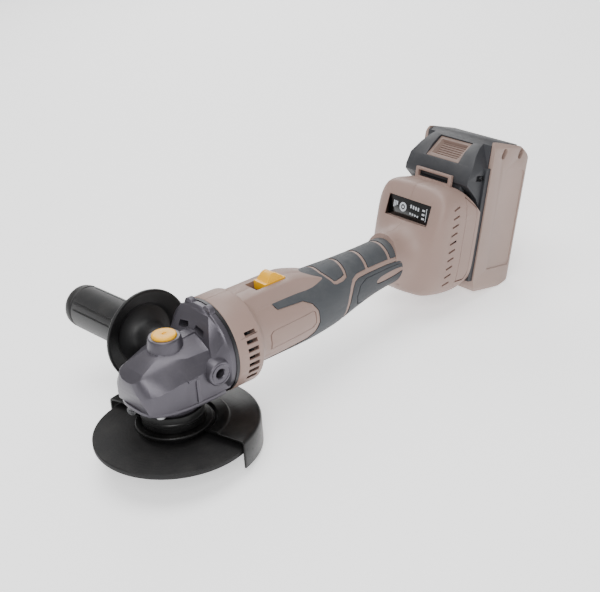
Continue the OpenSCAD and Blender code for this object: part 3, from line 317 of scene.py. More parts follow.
def settle(obj, which, body, slotName, *replaced):
    # finish and body of a piece, and the CAD pieces that it stands for; slotName is not used
    obj.data.materials.clear()
    obj.data.materials.append(finish[which])
    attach(obj, body)
    if replaced:
        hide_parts(*replaced)


def newGroup(name, inputs, outputs):
    group = bpy.data.node_groups.new(name, "ShaderNodeTree")
    for label, value in inputs:
        socket = group.interface.new_socket(name=label, in_out="INPUT", socket_type="NodeSocketFloat")
        socket.default_value = value
    for label in outputs:
        group.interface.new_socket(name=label, in_out="OUTPUT", socket_type="NodeSocketFloat")
    addNode(group, "TexCoord", name="where")
    return group, group.nodes.new("NodeGroupInput"), group.nodes.new("NodeGroupOutput")


def onObject(tree):  # place on the piece itself, so that a finish moves with it
    return tree.nodes["where"].outputs["Object"]


def addNode(tree, kind, **settings):
    node = tree.nodes.new("ShaderNode" + kind)
    for key, value in settings.items():
        setattr(node, key, value)
    return node


def link(output, socket):
    socket.id_data.links.new(output, socket)


def feed(socket, value):  # a number or a colour is set, anything else is linked
    if isinstance(value, (int, float)):
        socket.default_value = value
    elif isinstance(value, tuple):
        socket.default_value = (*value, 1)
    else:
        link(value, socket)


def mathNode(tree, operation, a, b):
    node = addNode(tree, "Math", operation=operation)
    feed(node.inputs[0], a)
    feed(node.inputs[1], b)
    return node.outputs[0]


def span(tree, value, fromLow, fromHigh, toLow=0.0, toHigh=1.0):
    node = addNode(tree, "MapRange", clamp=True)
    link(value, node.inputs[0])
    for i, v in enumerate((fromLow, fromHigh, toLow, toHigh)):
        node.inputs[i + 1].default_value = v
    return node.outputs[0]


def noise(tree, scale, detail=3.0, roughness=0.55):
    node = addNode(tree, "TexNoise")
    link(onObject(tree), node.inputs["Vector"])
    feed(node.inputs["Scale"], scale)
    node.inputs["Detail"].default_value = detail
    node.inputs["Roughness"].default_value = roughness
    return node.outputs[0]


def buildGrain():  # fine moulded or cast texture, with a slow change of tone
    tree, given, out = newGroup("fineGrain", [("Scale", 900.0)], ["Height", "Tone"])
    fine = noise(tree, given.outputs["Scale"], 4.0, 0.65)
    cells = addNode(tree, "TexVoronoi")
    link(onObject(tree), cells.inputs["Vector"])
    link(given.outputs["Scale"], cells.inputs["Scale"])
    link(mathNode(tree, "ADD", mathNode(tree, "MULTIPLY", fine, 0.7),
                            mathNode(tree, "MULTIPLY", cells.outputs["Distance"], 0.3)), out.inputs["Height"])
    link(span(tree, noise(tree, 22.0, 3.0), 0.3, 0.7), out.inputs["Tone"])
    return tree


def buildEdgeWear():  # 1 along outer edges, broken up so that it looks rubbed
    tree, given, out = newGroup("edgeWear", [("Reach", 0.0006), ("Patchy", 140.0)], ["Mask"])
    rounded = addNode(tree, "Bevel", samples=4)
    link(given.outputs["Reach"], rounded.inputs["Radius"])
    true = addNode(tree, "NewGeometry")
    dot = addNode(tree, "VectorMath", operation="DOT_PRODUCT")
    link(rounded.outputs[0], dot.inputs[0])
    link(true.outputs["Normal"], dot.inputs[1])
    edge = span(tree, dot.outputs["Value"], 0.995, 0.86)
    patches = span(tree, noise(tree, given.outputs["Patchy"], 4.0, 0.6), 0.4, 0.62)
    link(mathNode(tree, "MULTIPLY", edge, patches), out.inputs["Mask"])
    return tree


def buildDust():  # settles on what faces up
    tree, given, out = newGroup("settledDust", [("Amount", 0.3)], ["Mask"])
    true = addNode(tree, "NewGeometry")
    parts = addNode(tree, "SeparateXYZ")
    link(true.outputs["Normal"], parts.inputs[0])
    up = span(tree, parts.outputs["Z"], 0.2, 0.95)
    speck = span(tree, noise(tree, 60.0, 6.0, 0.7), 0.42, 0.72)
    settled = mathNode(tree, "MULTIPLY", up, speck)
    link(mathNode(tree, "MULTIPLY", settled, given.outputs["Amount"]), out.inputs["Mask"])
    return tree


def buildScratches():  # short fine scratches in two directions
    tree, given, out = newGroup("hairScratches", [("Scale", 60.0)], ["Mask"])
    masks = []
    for stretch, turn in (((1, 26, 8), 0.5), ((22, 1, 9), -0.9)):
        mapping = addNode(tree, "Mapping")
        mapping.inputs["Scale"].default_value = stretch
        mapping.inputs["Rotation"].default_value = (0.3, 0.2, turn)
        link(onObject(tree), mapping.inputs["Vector"])
        lines = addNode(tree, "TexNoise")
        lines.inputs["Detail"].default_value = 5
        link(mapping.outputs[0], lines.inputs["Vector"])
        link(given.outputs["Scale"], lines.inputs["Scale"])
        masks.append(span(tree, lines.outputs[0], 0.6, 0.7))
    link(mathNode(tree, "MAXIMUM", masks[0], masks[1]), out.inputs["Mask"])
    return tree


grainGroup, wearGroup, dustGroup, scratchGroup = buildGrain(), buildEdgeWear(), buildDust(), buildScratches()
print("shader groups built")


def linear(v):  # one screen value, 0 to 255, as light
    return v / 255 / 12.92 if v <= 10 else ((v / 255 + 0.055) / 1.055) ** 2.4


def fromScreen(red, green, blue):
    return linear(red), linear(green), linear(blue)


def shade(colour, factor):
    return tuple(min(1.0, c * factor) for c in colour)


def look(colour, rough, grain, tone, wear, dust, **more):
    return {"colour": colour, "rough": rough, "grain": grain, "tone": tone,
            "wear": wear, "dust": dust, **more}


# colour as seen under soft white light, roughness, grain as (scale, depth in mm),
# then the strength of the changes of tone, of the worn edges and of the dust;
# rings, bands and tracks give the scale of a turned, a layered and a printed pattern
finishes = {
    "beigePlastic": look((142, 119, 110), 0.46, (2600, 0.03), 0.05, 0.2, 0.05),
    "packBeige": look((148, 127, 118), 0.45, (2600, 0.03), 0.05, 0.2, 0.05),
    "latchBrown": look((120, 99, 90), 0.5, (2400, 0.03), 0.06, 0.3, 0.12),
    "gripRubber": look((58, 61, 65), 0.62, (1900, 0.06), 0.06, 0.12, 0.08),
    "castAlloy": look((82, 79, 86), 0.36, (1500, 0.03), 0.07, 0.8, 0.04, metallic=0.6, scratches=0.1),
    "handleBlack": look((20, 20, 21), 0.5, (1700, 0.05), 0.08, 0.2, 0.05),
    "packGrey": look((42, 43, 47), 0.52, (2000, 0.045), 0.07, 0.2, 0.06),
    "yellowPlastic": look((236, 172, 0), 0.38, (2400, 0.02), 0.05, 0.1, 0.08, coat=0.08),
    "guardBlack": look((9, 9, 9), 0.36, (1200, 0.03), 0.08, 0.35, 0.03, metallic=0.35, scratches=0.08),
    "discAbrasive": look((8, 7, 8), 0.7, (1100, 0.12), 0.08, 0.1, 0.02, rings=420),
    "screwSteel": look((150, 150, 152), 0.3, (1500, 0.01), 0.1, 0.3, 0.1, metallic=1.0, scratches=0.3),
    "darkSteel": look((60, 60, 62), 0.38, (1300, 0.02), 0.15, 0.5, 0.1, metallic=0.9, scratches=0.3),
    "gearSteel": look((128, 124, 120), 0.28, (1500, 0.01), 0.12, 0.4, 0.0, metallic=1.0, scratches=0.25),
    "bronze": look((176, 130, 78), 0.32, (1500, 0.01), 0.15, 0.3, 0.0, metallic=1.0, scratches=0.25),
    "coreSteel": look((112, 112, 116), 0.36, (1500, 0.01), 0.1, 0.1, 0.0, metallic=0.9, bands=1000),
    "copperWire": look((184, 104, 62), 0.3, (1500, 0.01), 0.1, 0.1, 0.0, metallic=0.9, bands=1300),
    "circuitGreen": look((34, 88, 58), 0.35, (900, 0.02), 0.2, 0.0, 0.0, tracks=260),
    "darkPlastic": look((30, 30, 32), 0.5, (1900, 0.04), 0.12, 0.2, 0.15),
    "leadBlue": look((40, 74, 150), 0.45, (1500, 0.02), 0.1, 0.0, 0.1),
    "leadRed": look((168, 36, 32), 0.45, (1500, 0.02), 0.1, 0.0, 0.1),
    "cellSleeve": look((42, 112, 142), 0.34, (1500, 0.01), 0.1, 0.1, 0.0),
    "displayGlass": look((9, 9, 10), 0.14, (2000, 0.004), 0.2, 0.0, 0.08, coat=0.3),
    "displayMark": look((190, 194, 200), 0.4, (2000, 0.004), 0.08, 0.0, 0.0, glow=0.1),
}


dustColour = fromScreen(176, 170, 162)
trackColour = fromScreen(190, 160, 90)


def makeFinish(name, v):
    material = bpy.data.materials.new(name)
    material.use_nodes = True
    tree = material.node_tree
    surface = tree.nodes["Principled BSDF"]
    addNode(tree, "TexCoord", name="where")
    base = fromScreen(*v["colour"])

    def group(which, **values):
        node = addNode(tree, "Group", node_tree=which)
        for key, value in values.items():
            node.inputs[key].default_value = value
        return node

    def mix(factor, first, second):
        node = addNode(tree, "Mix", data_type="RGBA")
        link(factor, node.inputs["Factor"])
        feed(node.inputs["A"], first)
        feed(node.inputs["B"], second)
        return node.outputs["Result"]

    grain = group(grainGroup, Scale=float(v["grain"][0]))
    colour = mix(grain.outputs["Tone"], shade(base, 1 - v["tone"]), shade(base, 1 + v["tone"]))
    height = grain.outputs["Height"]
    rough = span(tree, grain.outputs["Height"], 0.2, 0.8, v["rough"] - 0.05, v["rough"] + 0.07)
    metal = v.get("metallic", 0)
    rings, pitch = v.get("rings"), v.get("rings") or v.get("bands")
    if pitch:
        wave = addNode(tree, "TexWave", wave_type="RINGS" if rings else "BANDS")
        if rings:  # turned rings round the spindle
            wave.rings_direction = "Z"
            shift = addNode(tree, "Mapping")
            shift.inputs["Location"].default_value = (-spindleAt[0], -spindleAt[1], 0)
            link(onObject(tree), shift.inputs["Vector"])
            link(shift.outputs[0], wave.inputs["Vector"])
        else:
            link(onObject(tree), wave.inputs["Vector"])
        wave.inputs["Scale"].default_value = pitch / 4
        wave.inputs["Distortion"].default_value = 0.6
        colour = mix(span(tree, wave.outputs["Fac"], 0.2, 0.9, 0, 0.35), colour, shade(base, 1.7))
        height = mathNode(tree, "ADD", height, mathNode(tree, "MULTIPLY", wave.outputs["Fac"], 0.5))
    if v.get("tracks"):
        tracks = addNode(tree, "TexBrick")
        link(onObject(tree), tracks.inputs["Vector"])
        tracks.inputs["Scale"].default_value = v["tracks"]
        tracks.inputs["Mortar Size"].default_value = 0.06
        colour = mix(tracks.outputs["Fac"], colour, trackColour)
    if v.get("scratches"):
        scratched = group(scratchGroup, Scale=50.0)
        mask = scratched.outputs["Mask"]
        colour = mix(mathNode(tree, "MULTIPLY", mask, v["scratches"]), colour, shade(base, 1.9))
        rough = mathNode(tree, "ADD", rough, mathNode(tree, "MULTIPLY", mask, 0.12))
    if v["wear"]:
        worn = group(wearGroup, Reach=0.0007 if v["wear"] > 0.3 else 0.0004, Patchy=150.0)
        colour = mix(mathNode(tree, "MULTIPLY", worn.outputs["Mask"], v["wear"]), colour,
                     shade(base, 2.2) if metal else shade(base, 1.35))
        rough = mathNode(tree, "SUBTRACT", rough, mathNode(tree, "MULTIPLY", worn.outputs["Mask"], 0.12))
    if v["dust"]:
        dusty = group(dustGroup, Amount=v["dust"])
        colour = mix(dusty.outputs["Mask"], colour, dustColour)
        rough = mathNode(tree, "ADD", rough, mathNode(tree, "MULTIPLY", dusty.outputs["Mask"], 0.3))
    link(colour, surface.inputs["Base Color"])
    link(rough, surface.inputs["Roughness"])
    surface.inputs["Metallic"].default_value = metal
    bump = addNode(tree, "Bump")
    bump.inputs["Strength"].default_value = 0.6
    bump.inputs["Distance"].default_value = v["grain"][1] / 1000
    link(height, bump.inputs["Height"])
    link(bump.outputs[0], surface.inputs["Normal"])
    if v.get("glow"):
        surface.inputs["Emission Strength"].default_value = v["glow"]
        link(colour, surface.inputs["Emission Color"])
    if v.get("coat"):
        surface.inputs["Coat Weight"].default_value = v["coat"]
        surface.inputs["Coat Roughness"].default_value = 0.12
    return material


finish = {name: makeFinish(name, values) for name, values in finishes.items()}
print("materials made:", len(finish))

# the inner pieces and the fastenings keep their CAD mesh
innerFinish = {
    "darkSteel": "spindle gear_circlip inner_flange lock_nut mounting_plate lock_plunger",
    "gearSteel": "ring_gear motor_shaft pinion",
    "screwSteel": "spindle_bearing front_bearing rear_bearing lock_spring latch_spring handle_stud "
                  "cover_screws head_screws housing_screws pack_screws clamp_screw clamp_nut",
    "bronze": "spindle_bush",
    "coreSteel": "rotor stator",
    "copperWire": "windings",
    "circuitGreen": "sensor_board control_board display_board pack_board",
    "darkPlastic": "fan baffle switch_link power_switch terminal_block cell_frame",
    "leadBlue": "motor_leads",
    "leadRed": "battery_leads",
    "cellSleeve": "pack_cells",
}
for which, names in innerFinish.items():
    for name in names.split():
        nodes[name].data.materials.clear()
        nodes[name].data.materials.append(finish[which])


# the cast body's two plans, how far its rim rises along them, and its view from the side
gearHead = {
    "base": 37, "shoulder": 49, "brow": 60.6, "castEdge": 0.9, "plateX": 33, "bellR": 33.6, "collarR": 11.6,
    "lowPlan": [(-34, 0), (-33.9, 6), (-33.2, 11.5), (-31.4, 16), (-28.4, 19.8), (-23.5, 23.3), (-16, 25.6),
                (-6, 27), (4, 27.7), (16, 28), (31, 27)],
    "highPlan": [(-33.4, 0), (-33.2, 5), (-32, 9.6), (-29.6, 12.8), (-26.4, 14.4), (-22, 15), (-15, 16),
                 (-7, 17.9), (4, 19.2), (16, 20.8), (31, 22)],
    "lift": (0, 0, 0.2, 0.5, 1.4, 2.6, 4.6, 6.6, 7.4, 8, 8.2),
    "sideView": [(31, 30), (-29.6, 30), (-30, 37), (-32.6, 48), (-34, 55), (-33.6, 57.6), (-31.6, 60.4),
                 (-27, 63.8), (-8, 71.6), (0, 73), (20, 75), (31, 76)],
    "lobeTurns": (18, -18, 162, 198),
}


def buildCastBody(g):
    # slices from the flat base over the shoulder to the narrow ridge, cut to the side view
    low, high, lift = g["lowPlan"], g["highPlan"], g["lift"]
    slices = [[(x, y, g["base"]) for x, y in low],
              [(x, y, g["shoulder"] + d) for (x, y), d in zip(low, lift)]]
    slices += [[(x, y * wide, g["brow"] + d * 0.9 + rise) for (x, y), d in zip(high, lift)]
               for wide, rise in ((1, 0), (0.8, 2), (0.6, 3.6), (0.4, 4.9), (0.2, 5.8))]
    slices.append([(x, y * 0.1, 97) for x, y in high])
    rings = [mirrored(ring) for ring in slices]
    n = len(rings[0])
    faces = [list(range(n)), [(len(rings) - 1) * n + i for i in range(n)]]
    for a, b, c, d in ringFaces(n, len(rings)):
        faces += [[a, b, c], [a, c, d]]
    body = meshFrom("gearHead", [p for ring in rings for p in ring], faces)
    return common(body, prism("side", g["sideView"], -60, 60, "y"))


def buildHood():
    # the wall behind the lock button, which runs out into the round end of the head
    points = [(x, 33 * math.cos(a), motorHeight + 33 * math.sin(a)) for x in (28.6, 30)
              for a in angles(-42, 223, 3)]
    corners = ((20.6, 21.6, 71), (19, 25.6, 62), (26.4, 15.5, 88.4), (18, 27.4, 50))
    points += [(x, s * y, z) for x, y, z in corners for s in (-1, 1)]
    return hullOf("hood", points)


def buildSocketBoss(socket):
    points = [(t, r * math.cos(a), r * math.sin(a)) for t, r in ((12, 9.4), (31.7, 9), (32.3, 8.4))
              for a in angles(0, 360, 12)]
    points += [(t, 12, q) for t in (12, 27.5) for q in (-8.4, 8.4)]
    return hullOf("boss", points, socket)


def buildGearHead(g):
    head = buildCastBody(g)
    add(head, buildHood())
    soften(head, g["castEdge"], 24, 3)
    plate, r = g["plateX"], g["bellR"]
    add(head, lathe("bell", [(27, 0), (27, 31.6), (28.4, 33.2), (29.2, r), (plate, r), (plate, 0)], onMotor))
    for turn in g["lobeTurns"]:  # round the four screws
        a = math.radians(turn)
        y, z = -32 * math.sin(a), 32 * math.cos(a)
        add(head, lathe("lobe", [(28.6, 0), (28.6, 4.1), (29.2, 4.7), (33, 4.7), (33, 0)],
                        lambda t, p, q: onMotor(t, y + p, z + q), 40))
    r = g["collarR"]
    add(head, lathe("collar", [(66, 0), (66, 12.6), (72, 12.4), (77.4, r), (78.5, r - 0.3), (78.9, r - 1),
                               (78.9, 0)], upright))
    for socket in (onHandle, onRightSocket):
        add(head, buildSocketBoss(socket))
    for s in (-1, 1):  # upright rib and the long rib above it on each side, and the vent in the wall
        add(head, hullOf("rib", [(x, s * y, z) for x in (2.8, 5.2)
                                 for y, z in ((24, 37.5), (28.8, 37.5), (28.6, 54.6), (24, 56.4))]))
        add(head, hullOf("rib", [(x, s * y, z) for x in (-3, 5.2)
                                 for y, z in ((24, 54), (28.4, 54), (28.2, 55.6), (24, 56.8))]))
        vent = [(s * 3.2, 76.2), (s * 9, 73.6), (s * 14.2, 73.4), (s * 13.4, 78), (s * 4.2, 79.6)]
        cut(head, prism("vent", vent if s > 0 else vent[::-1], 15, 28.6, "x"))
    soften(head, 0.3, 40, 2)
    low = g["base"] - 1
    cut(head, rod("gearRoom", low, 56.6, 21, upright))
    cut(head, rod("buttonRoom", 71.5, 90, 9, upright))
    cut(head, rod("bearingSeat", 26, 40, 11.1, onMotor))
    cut(head, rod("pinionWay", 8, 27, 8.5, onMotor))
    for socket in (onHandle, onRightSocket):
        bore = [(18.3, 0), (18.3, 3.4), (31.6, 3.4), (32.6, 4.4), (34, 4.4), (34, 0)]
        cut(head, lathe("bore", bore, socket, 48))
        cut(head, lathe("edge", [(31.9, 6.6), (31.9, 7.4), (34, 7.4), (34, 6.6)], socket, 64))
    soften(head, 0, 40, smooth=24)
    settle(head, "castAlloy", "frame", "gear_case", "gear_housing")


buildGearHead(gearHead)

bearingCover = {
    "low": 34, "high": 36.95, "neckLow": 14.7, "neckR": 19.9,
    "plan": [(-31.2, 0), (-31.1, 6), (-30.4, 11.5), (-28.8, 15.8), (-26, 19.2), (-21.6, 22.6), (-15, 25.6),
             (-6, 27.4), (4, 28.2), (16, 28.5), (26.6, 27.6)],
}


def buildBearingCover(c):
    plate = prism("bearingCover", mirrored(c["plan"]), c["low"], c["high"], "z")
    soften(plate, 0.6, 30, 2)
    low, r = c["neckLow"], c["neckR"]
    neck = [(low, 17), (low, r), (30, r), (32.5, 21), (34.6, 24), (34.6, 9), (30, 9), (30, 17)]
    add(plate, lathe("neck", neck, upright))
    soften(plate, 0, 40)
    settle(plate, "castAlloy", "frame", "gear_case", "bearing_cover")


buildBearingCover(bearingCover)
print("gear head and cover built")

lockButton = {"low": 75.4, "top": 80.9, "r": 8.65, "slotHalf": 1.6}


def buildLockButton(b):
    low, top, r = b["low"], b["top"], b["r"]
    button = lathe("lockButton", [(low, r - 0.9), (low, r), (top - 1.3, r), (top - 0.6, r - 0.15),
                                  (top - 0.2, r - 0.55), (top, r - 1.15), (top - 0.1, 0), (top - 1.9, 0),
                                  (top - 1.9, r - 0.9)], upright)
    h = b["slotHalf"]
    plan = ((-h, -0.6), (-1, -1), (1, -1), (h, -0.6), (h, 0.6), (1, 1), (-1, 1), (-h, 0.6))
    cut(button, hullOf("slot", [(x, y, z) for x, y in plan for z in (top - 0.7, top + 1.1)]))
    soften(button, 0.15, 40)
    settle(button, "yellowPlastic", "lock_set", "yellow_plastic", "lock_button")


buildLockButton(lockButton)

grindingDisc = {"r": 57.5, "low": 2.6, "high": 6.6, "bore": 11.1}


def buildDisc(d):
    low, high, r = d["low"], d["high"], d["r"]
    label = [(high, 26), (high + 0.15, 25.4), (high + 0.15, 21.4), (high, 20.8)]  # a thin raised ring
    disc = lathe("grindingDisc", [(low, d["bore"]), (low, r - 0.6), (low + 0.4, r - 0.1), (low + 0.8, r),
                                  (high - 0.8, r), (high - 0.4, r - 0.1), (high, r - 0.6), *label,
                                  (high, d["bore"])], upright, 192)
    soften(disc, 0.12, 40)
    settle(disc, "discAbrasive", "spindle_set", "abrasive", "grinding_disc")


buildDisc(grindingDisc)

guard = {"r": 60.4, "top": 13.7, "low": -7.1, "wall": 1.6, "hub": 38, "neck": 20.05}


def buildGuard(g):
    t, r, w, low, neck, hub = g["top"], g["r"], g["wall"], g["low"], g["neck"], g["hub"]
    outer = [(t - w, neck), (t - w, r - w - 1.9), (t - w - 0.6, r - w - 0.6), (t - w - 1.9, r - w),
             (low + 0.4, r - w), (low, r - w + 0.4), (low, r - 0.3), (low + 0.4, r), (t - 2.4, r),
             (t - 1.1, r - 0.5), (t - 0.3, r - 1.3), (t, r - 2.4), (t, hub + 1.6), (t + 0.4, hub + 0.8),
             (t + 1.2, hub), (t + 1.2, 30.4), (t - 0.4, 28.4), (t - 0.4, 24.4), (t + 1.2, 23.4),
             (t + 1.2, neck)]
    shell = lathe("guardShell", outer, upGuard, 112, -90, 180)
    add(shell, lathe("hub", [(t - w, neck), (t - w, 27), (t + 0.6, 27), (t + 1.2, 26.4), (t + 1.2, neck)],
                     upGuard, 128))
    soften(shell, 0.25, 40)
    settle(shell, "guardBlack", "guard_set", "black_metal", "guard")


buildGuard(guard)

# ear is the angle of the two clamp ears, gap is half the slit between the band's ends
clampBand = {"low": 14.9, "high": 26.9, "inner": 20.05, "outer": 22.1, "ear": 106, "gap": 2.2}


def buildBand(b):
    low, high, inner, outer = b["low"], b["high"], b["inner"], b["outer"]
    profile = [(low, inner), (low, outer - 0.3), (low + 0.3, outer), (20, outer), (20.6, outer + 0.5),
               (22, outer + 0.5), (22.6, outer), (high - 0.3, outer), (high, outer - 0.3), (high, inner)]
    gap = math.degrees(b["gap"] / 21)
    band = lathe("clampBand", profile, upGuard, 96, b["ear"] + gap, 360 - 2 * gap)
    turn = math.radians(b["ear"])

    def atEar(r, s, z):
        c, d = math.cos(turn), math.sin(turn)
        return inGuard(r * c - s * d, r * d + s * c, z)
    for s in (-1, 1):
        outline = [(21, 15.9), (32, 15.9), (33.2, 17.4), (33.2, 24.4), (32, 25.9), (21, 25.9)]
        add(band, prism("ear", outline, *sideSpan(s, 2, 4.4), "y", atEar))
    cut(band, rod("hole", -9, 9, 2.15, lambda t, p, q: atEar(28 + p, t, 20.9 + q), 40))
    soften(band, 0.25, 40)
    settle(band, "guardBlack", "guard_set", "black_metal", "guard_band")


buildBand(clampBand)
print("disc, guard and clamp built")

# body and shoe are sections as loft takes them; bed is how far the switch bed's top drops along x
casing = {
    "wall": 2.6, "seam": 0.12, "bedTop": 87.4, "bedHalf": 12.5, "ventHeight": 3, "ventPitch": 5.6,
    "body": [(51.5, 26.5, 84, 32.8, 2), (103.5, 26.5, 84, 32.8, 2), (120.5, 25, 82.5, 33.2, 2),
             (140.5, 22.5, 81.5, 35.4, 2.1), (160.5, 20, 81, 39.6, 2.1), (180.5, 18, 81, 43.4, 2.1),
             (200.5, 17, 81.5, 45.4, 2.1), (219.5, 17, 82, 46, 2.1)],
    "shoe": [(-70, 16.4, -20, -55, 2.1), (-60, 18.3, -17.5, -60, 2.1), (-53, 23, -13, -63.5, 2.4),
             (-49, 29, -6, -65.5, 3.2), (-46.4, 32.4, 7, -66, 4.2), (-44, 34.4, 15, -66.5, 4.8),
             (-39.5, 35.8, 18.2, -66.5, 5), (-26, 36.3, 19, -66, 5), (-14, 36.5, 19, -63.5, 5),
             (-5, 36.5, 19, -58.5, 5.2)],
    "bed": ((49, 0.2), (60, 0), (101, 0), (104, 0.1), (107, 0.4), (110, 1), (114, 2), (118, 3.2), (124, 5.2),
            (132, 8.4)),
    "label": [(70, 49.4), (109, 51.6), (112.4, 54.6), (112.4, 62.6), (111, 64.6), (72, 63.4), (69, 61)],
    "panel": [(-20.6, 14.4), (-9.4, 6.6), (-8.6, 3), (-8.6, -47), (-11.4, -52), (-20.6, -53)],
}


def bodyLoft(name, grow=0, stretch=0.3):
    return loft(name, casing["body"], place, grow, stretch)


def shoeLoft(name, grow=0, stretch=0):
    return loft(name, casing["shoe"], onShoe, grow, stretch, 144, 1.6)


def buildBed(c):
    # the raised switch bed, from the ring to where it runs out into the grip
    rows = []
    for x, drop in c["bed"]:
        h, top = c["bedHalf"], c["bedTop"] - drop
        side = [(h + 6, 70), (h + 4.6, top - 8.4), (h + 1.3, top - 2.2), (h + 0.5, top - 0.8), (h - 0.6, top)]
        rows.append([(x, y, z) for y, z in side] + [(x, -y, z) for y, z in side[::-1]])
    n = len(rows[0])
    faces = [list(range(n)), [(len(rows) - 1) * n + i for i in range(n)][::-1]]
    return meshFrom("bed", [p for row in rows for p in row], faces + ringFaces(n, len(rows)))


def outlineTool(outline, wide, low, high, axis, where):
    # a thin frame that follows an outline, to cut a fine groove
    middle = (sum(p[0] for p in outline) / len(outline), sum(p[1] for p in outline) / len(outline))
    inner = []
    for a, b in outline:
        away = math.hypot(a - middle[0], b - middle[1])
        inner.append((a + (middle[0] - a) * wide * 1.4 / away, b + (middle[1] - b) * wide * 1.4 / away))
    frameTool = prism("groove", outline, low, high, axis, where)
    return cut(frameTool, prism("inside", inner, low - 1, high + 1, axis, where))


def moved(outline, inward):
    # an outline whose points run anticlockwise or clockwise, moved in by the same distance
    area = sum(a[0] * b[1] - b[0] * a[1] for a, b in zip(outline, outline[1:] + outline[:1]))
    turn = 1 if area > 0 else -1
    out = []
    for i, (x, y) in enumerate(outline):
        normals = []
        for (x0, y0), (x1, y1) in ((outline[i - 1], (x, y)), ((x, y), outline[(i + 1) % len(outline)])):
            size = math.hypot(x1 - x0, y1 - y0)
            normals.append((-(y1 - y0) / size * turn, (x1 - x0) / size * turn))
        nx, ny = normals[0][0] + normals[1][0], normals[0][1] + normals[1][1]
        size = max(nx * nx + ny * ny, 0.6)
        out.append((x + nx * 2 * inward / size, y + ny * 2 * inward / size))
    return out


def stripe(name, line, wide, low, high, axis):
    # a band of constant width along a line of points
    left, right = [], []
    for i, (a, b) in enumerate(line):
        before, after = line[max(i - 1, 0)], line[min(i + 1, len(line) - 1)]
        da, db = after[0] - before[0], after[1] - before[1]
        size = math.hypot(da, db)
        left.append((a - db / size * wide / 2, b + da / size * wide / 2))
        right.append((a + db / size * wide / 2, b - da / size * wide / 2))
    return prism(name, left + right[::-1], low, high, axis)


# gap is the fine joint round each rubber field; side is seen from the side, the other stripes from above
gripRubber = {
    "gap": 0.4, "proud": 0.45, "under": 1.5,
    "outline": [(78, 80.6), (81.4, 74.6), (104, 73.2), (111, 69.2), (115, 63), (115.6, 54), (112.6, 47),
                (106, 42.6), (73, 38.6), (69.6, 34), (66, 18), (219.2, 18), (219.2, 96), (116, 96),
                (117, 83.5), (100, 80.9)],
    "pad": [(134.2, 11.5), (134.6, 4), (133.6, -3), (133.4, -8), (135.4, -13), (138, -17.2), (141, -17.6),
            (146, -16.8), (150.6, -15.6), (152, -12.4), (153.6, -6), (154.6, 0), (154.8, 6), (153.4, 11.5)],
    "arcB": [(171.4, -19), (173.2, -12), (174.6, -4), (175, 3), (174.2, 10), (172, 17)],
    "arcC": [(195.4, -18), (196.6, -12), (197.4, -4), (197.6, 3), (197, 10), (195.4, 17)],
    "side": [(219, 69.2), (205, 70.4), (193, 71.2), (170, 71.6), (161, 71.4), (156.4, 69.8), (152.8, 66),
             (149.6, 60), (147.4, 53), (146.4, 46), (146, 30)],
    "lowerPad": [(158, 50), (166, 47.8), (212, 50.2), (214.5, 53), (214.5, 64), (212, 66.8), (168, 67.6),
                 (160.6, 64.4), (156.6, 57)],
}


def buildStripes(r, gap):
    tools = [stripe("side", r["side"], 2.9 + gap, *sideSpan(s, 0.001, 40), "y") for s in (-1, 1)]
    for name in ("arcB", "arcC"):
        tools.append(stripe(name, r[name], 2.1 + gap, 71.8, 96, "z"))
    tools.append(stripe("pad", r["pad"], 1.9 + gap, 72.6, 96, "z"))
    oval = []  # the inlay in the lower pad, on both sides
    for a in angles(0, 360, 12):
        oval.append((194 + 14 * signedPower(math.cos(a), 0.75),
                     60.6 + 2.6 * signedPower(math.sin(a), 0.8) + 0.05 * 14 * math.cos(a)))
    tools += [prism("oval", moved(oval, -gap / 2), *sideSpan(s, 5, 40), "y") for s in (-1, 1)]
    return tools


def buildRubber(r):
    shell = bodyLoft("gripRubber", r["proud"], 0)
    cut(shell, bodyLoft("core", -r["under"], 2))
    common(shell, prism("region", moved(r["outline"], r["gap"]), -60, 60, "y"))
    for tool in buildStripes(r, 2 * r["gap"]):
        cut(shell, tool)
    for s in (-1, 1):  # shallow frame round the lower pad
        tool = outlineTool(r["lowerPad"], 0.8, *sideSpan(s, 6, 40), "y", place)
        cut(tool, bodyLoft("keep", -0.1, 2))
        cut(shell, tool)
    cut(shell, shoeLoft("shoe", 0.02, 0.2))
    return cut(shell, buildBed(casing))


def buildSkin(c, r):
    skin = bodyLoft("casing", 0, 0.3)
    ring = [(35.5, 0), (35.5, 33.9), (35.7, 34.3), (36.2, 34.6), (55, 34.6), (56.2, 34.3), (57.2, 33.6),
            (58.2, 32.2), (59, 30.8), (60.4, 29.2), (62.6, 27.8), (66, 26.2), (66, 0)]
    add(skin, lathe("ring", ring, onMotor, 160))
    add(skin, buildBed(c))
    add(skin, shoeLoft("shoe"))
    soften(skin, 0, 34)
    # what the rubber lies on is lower, with the stripes left standing
    sink = common(bodyLoft("sink", 3, 1), prism("region", r["outline"], -60, 60, "y"))
    cut(sink, bodyLoft("core", -r["under"] - 0.05, 3))
    for tool in buildStripes(r, 0):
        cut(sink, tool)
    cut(sink, shoeLoft("shoe", 0, 0.2))
    cut(sink, buildBed(c))
    return cut(skin, sink)


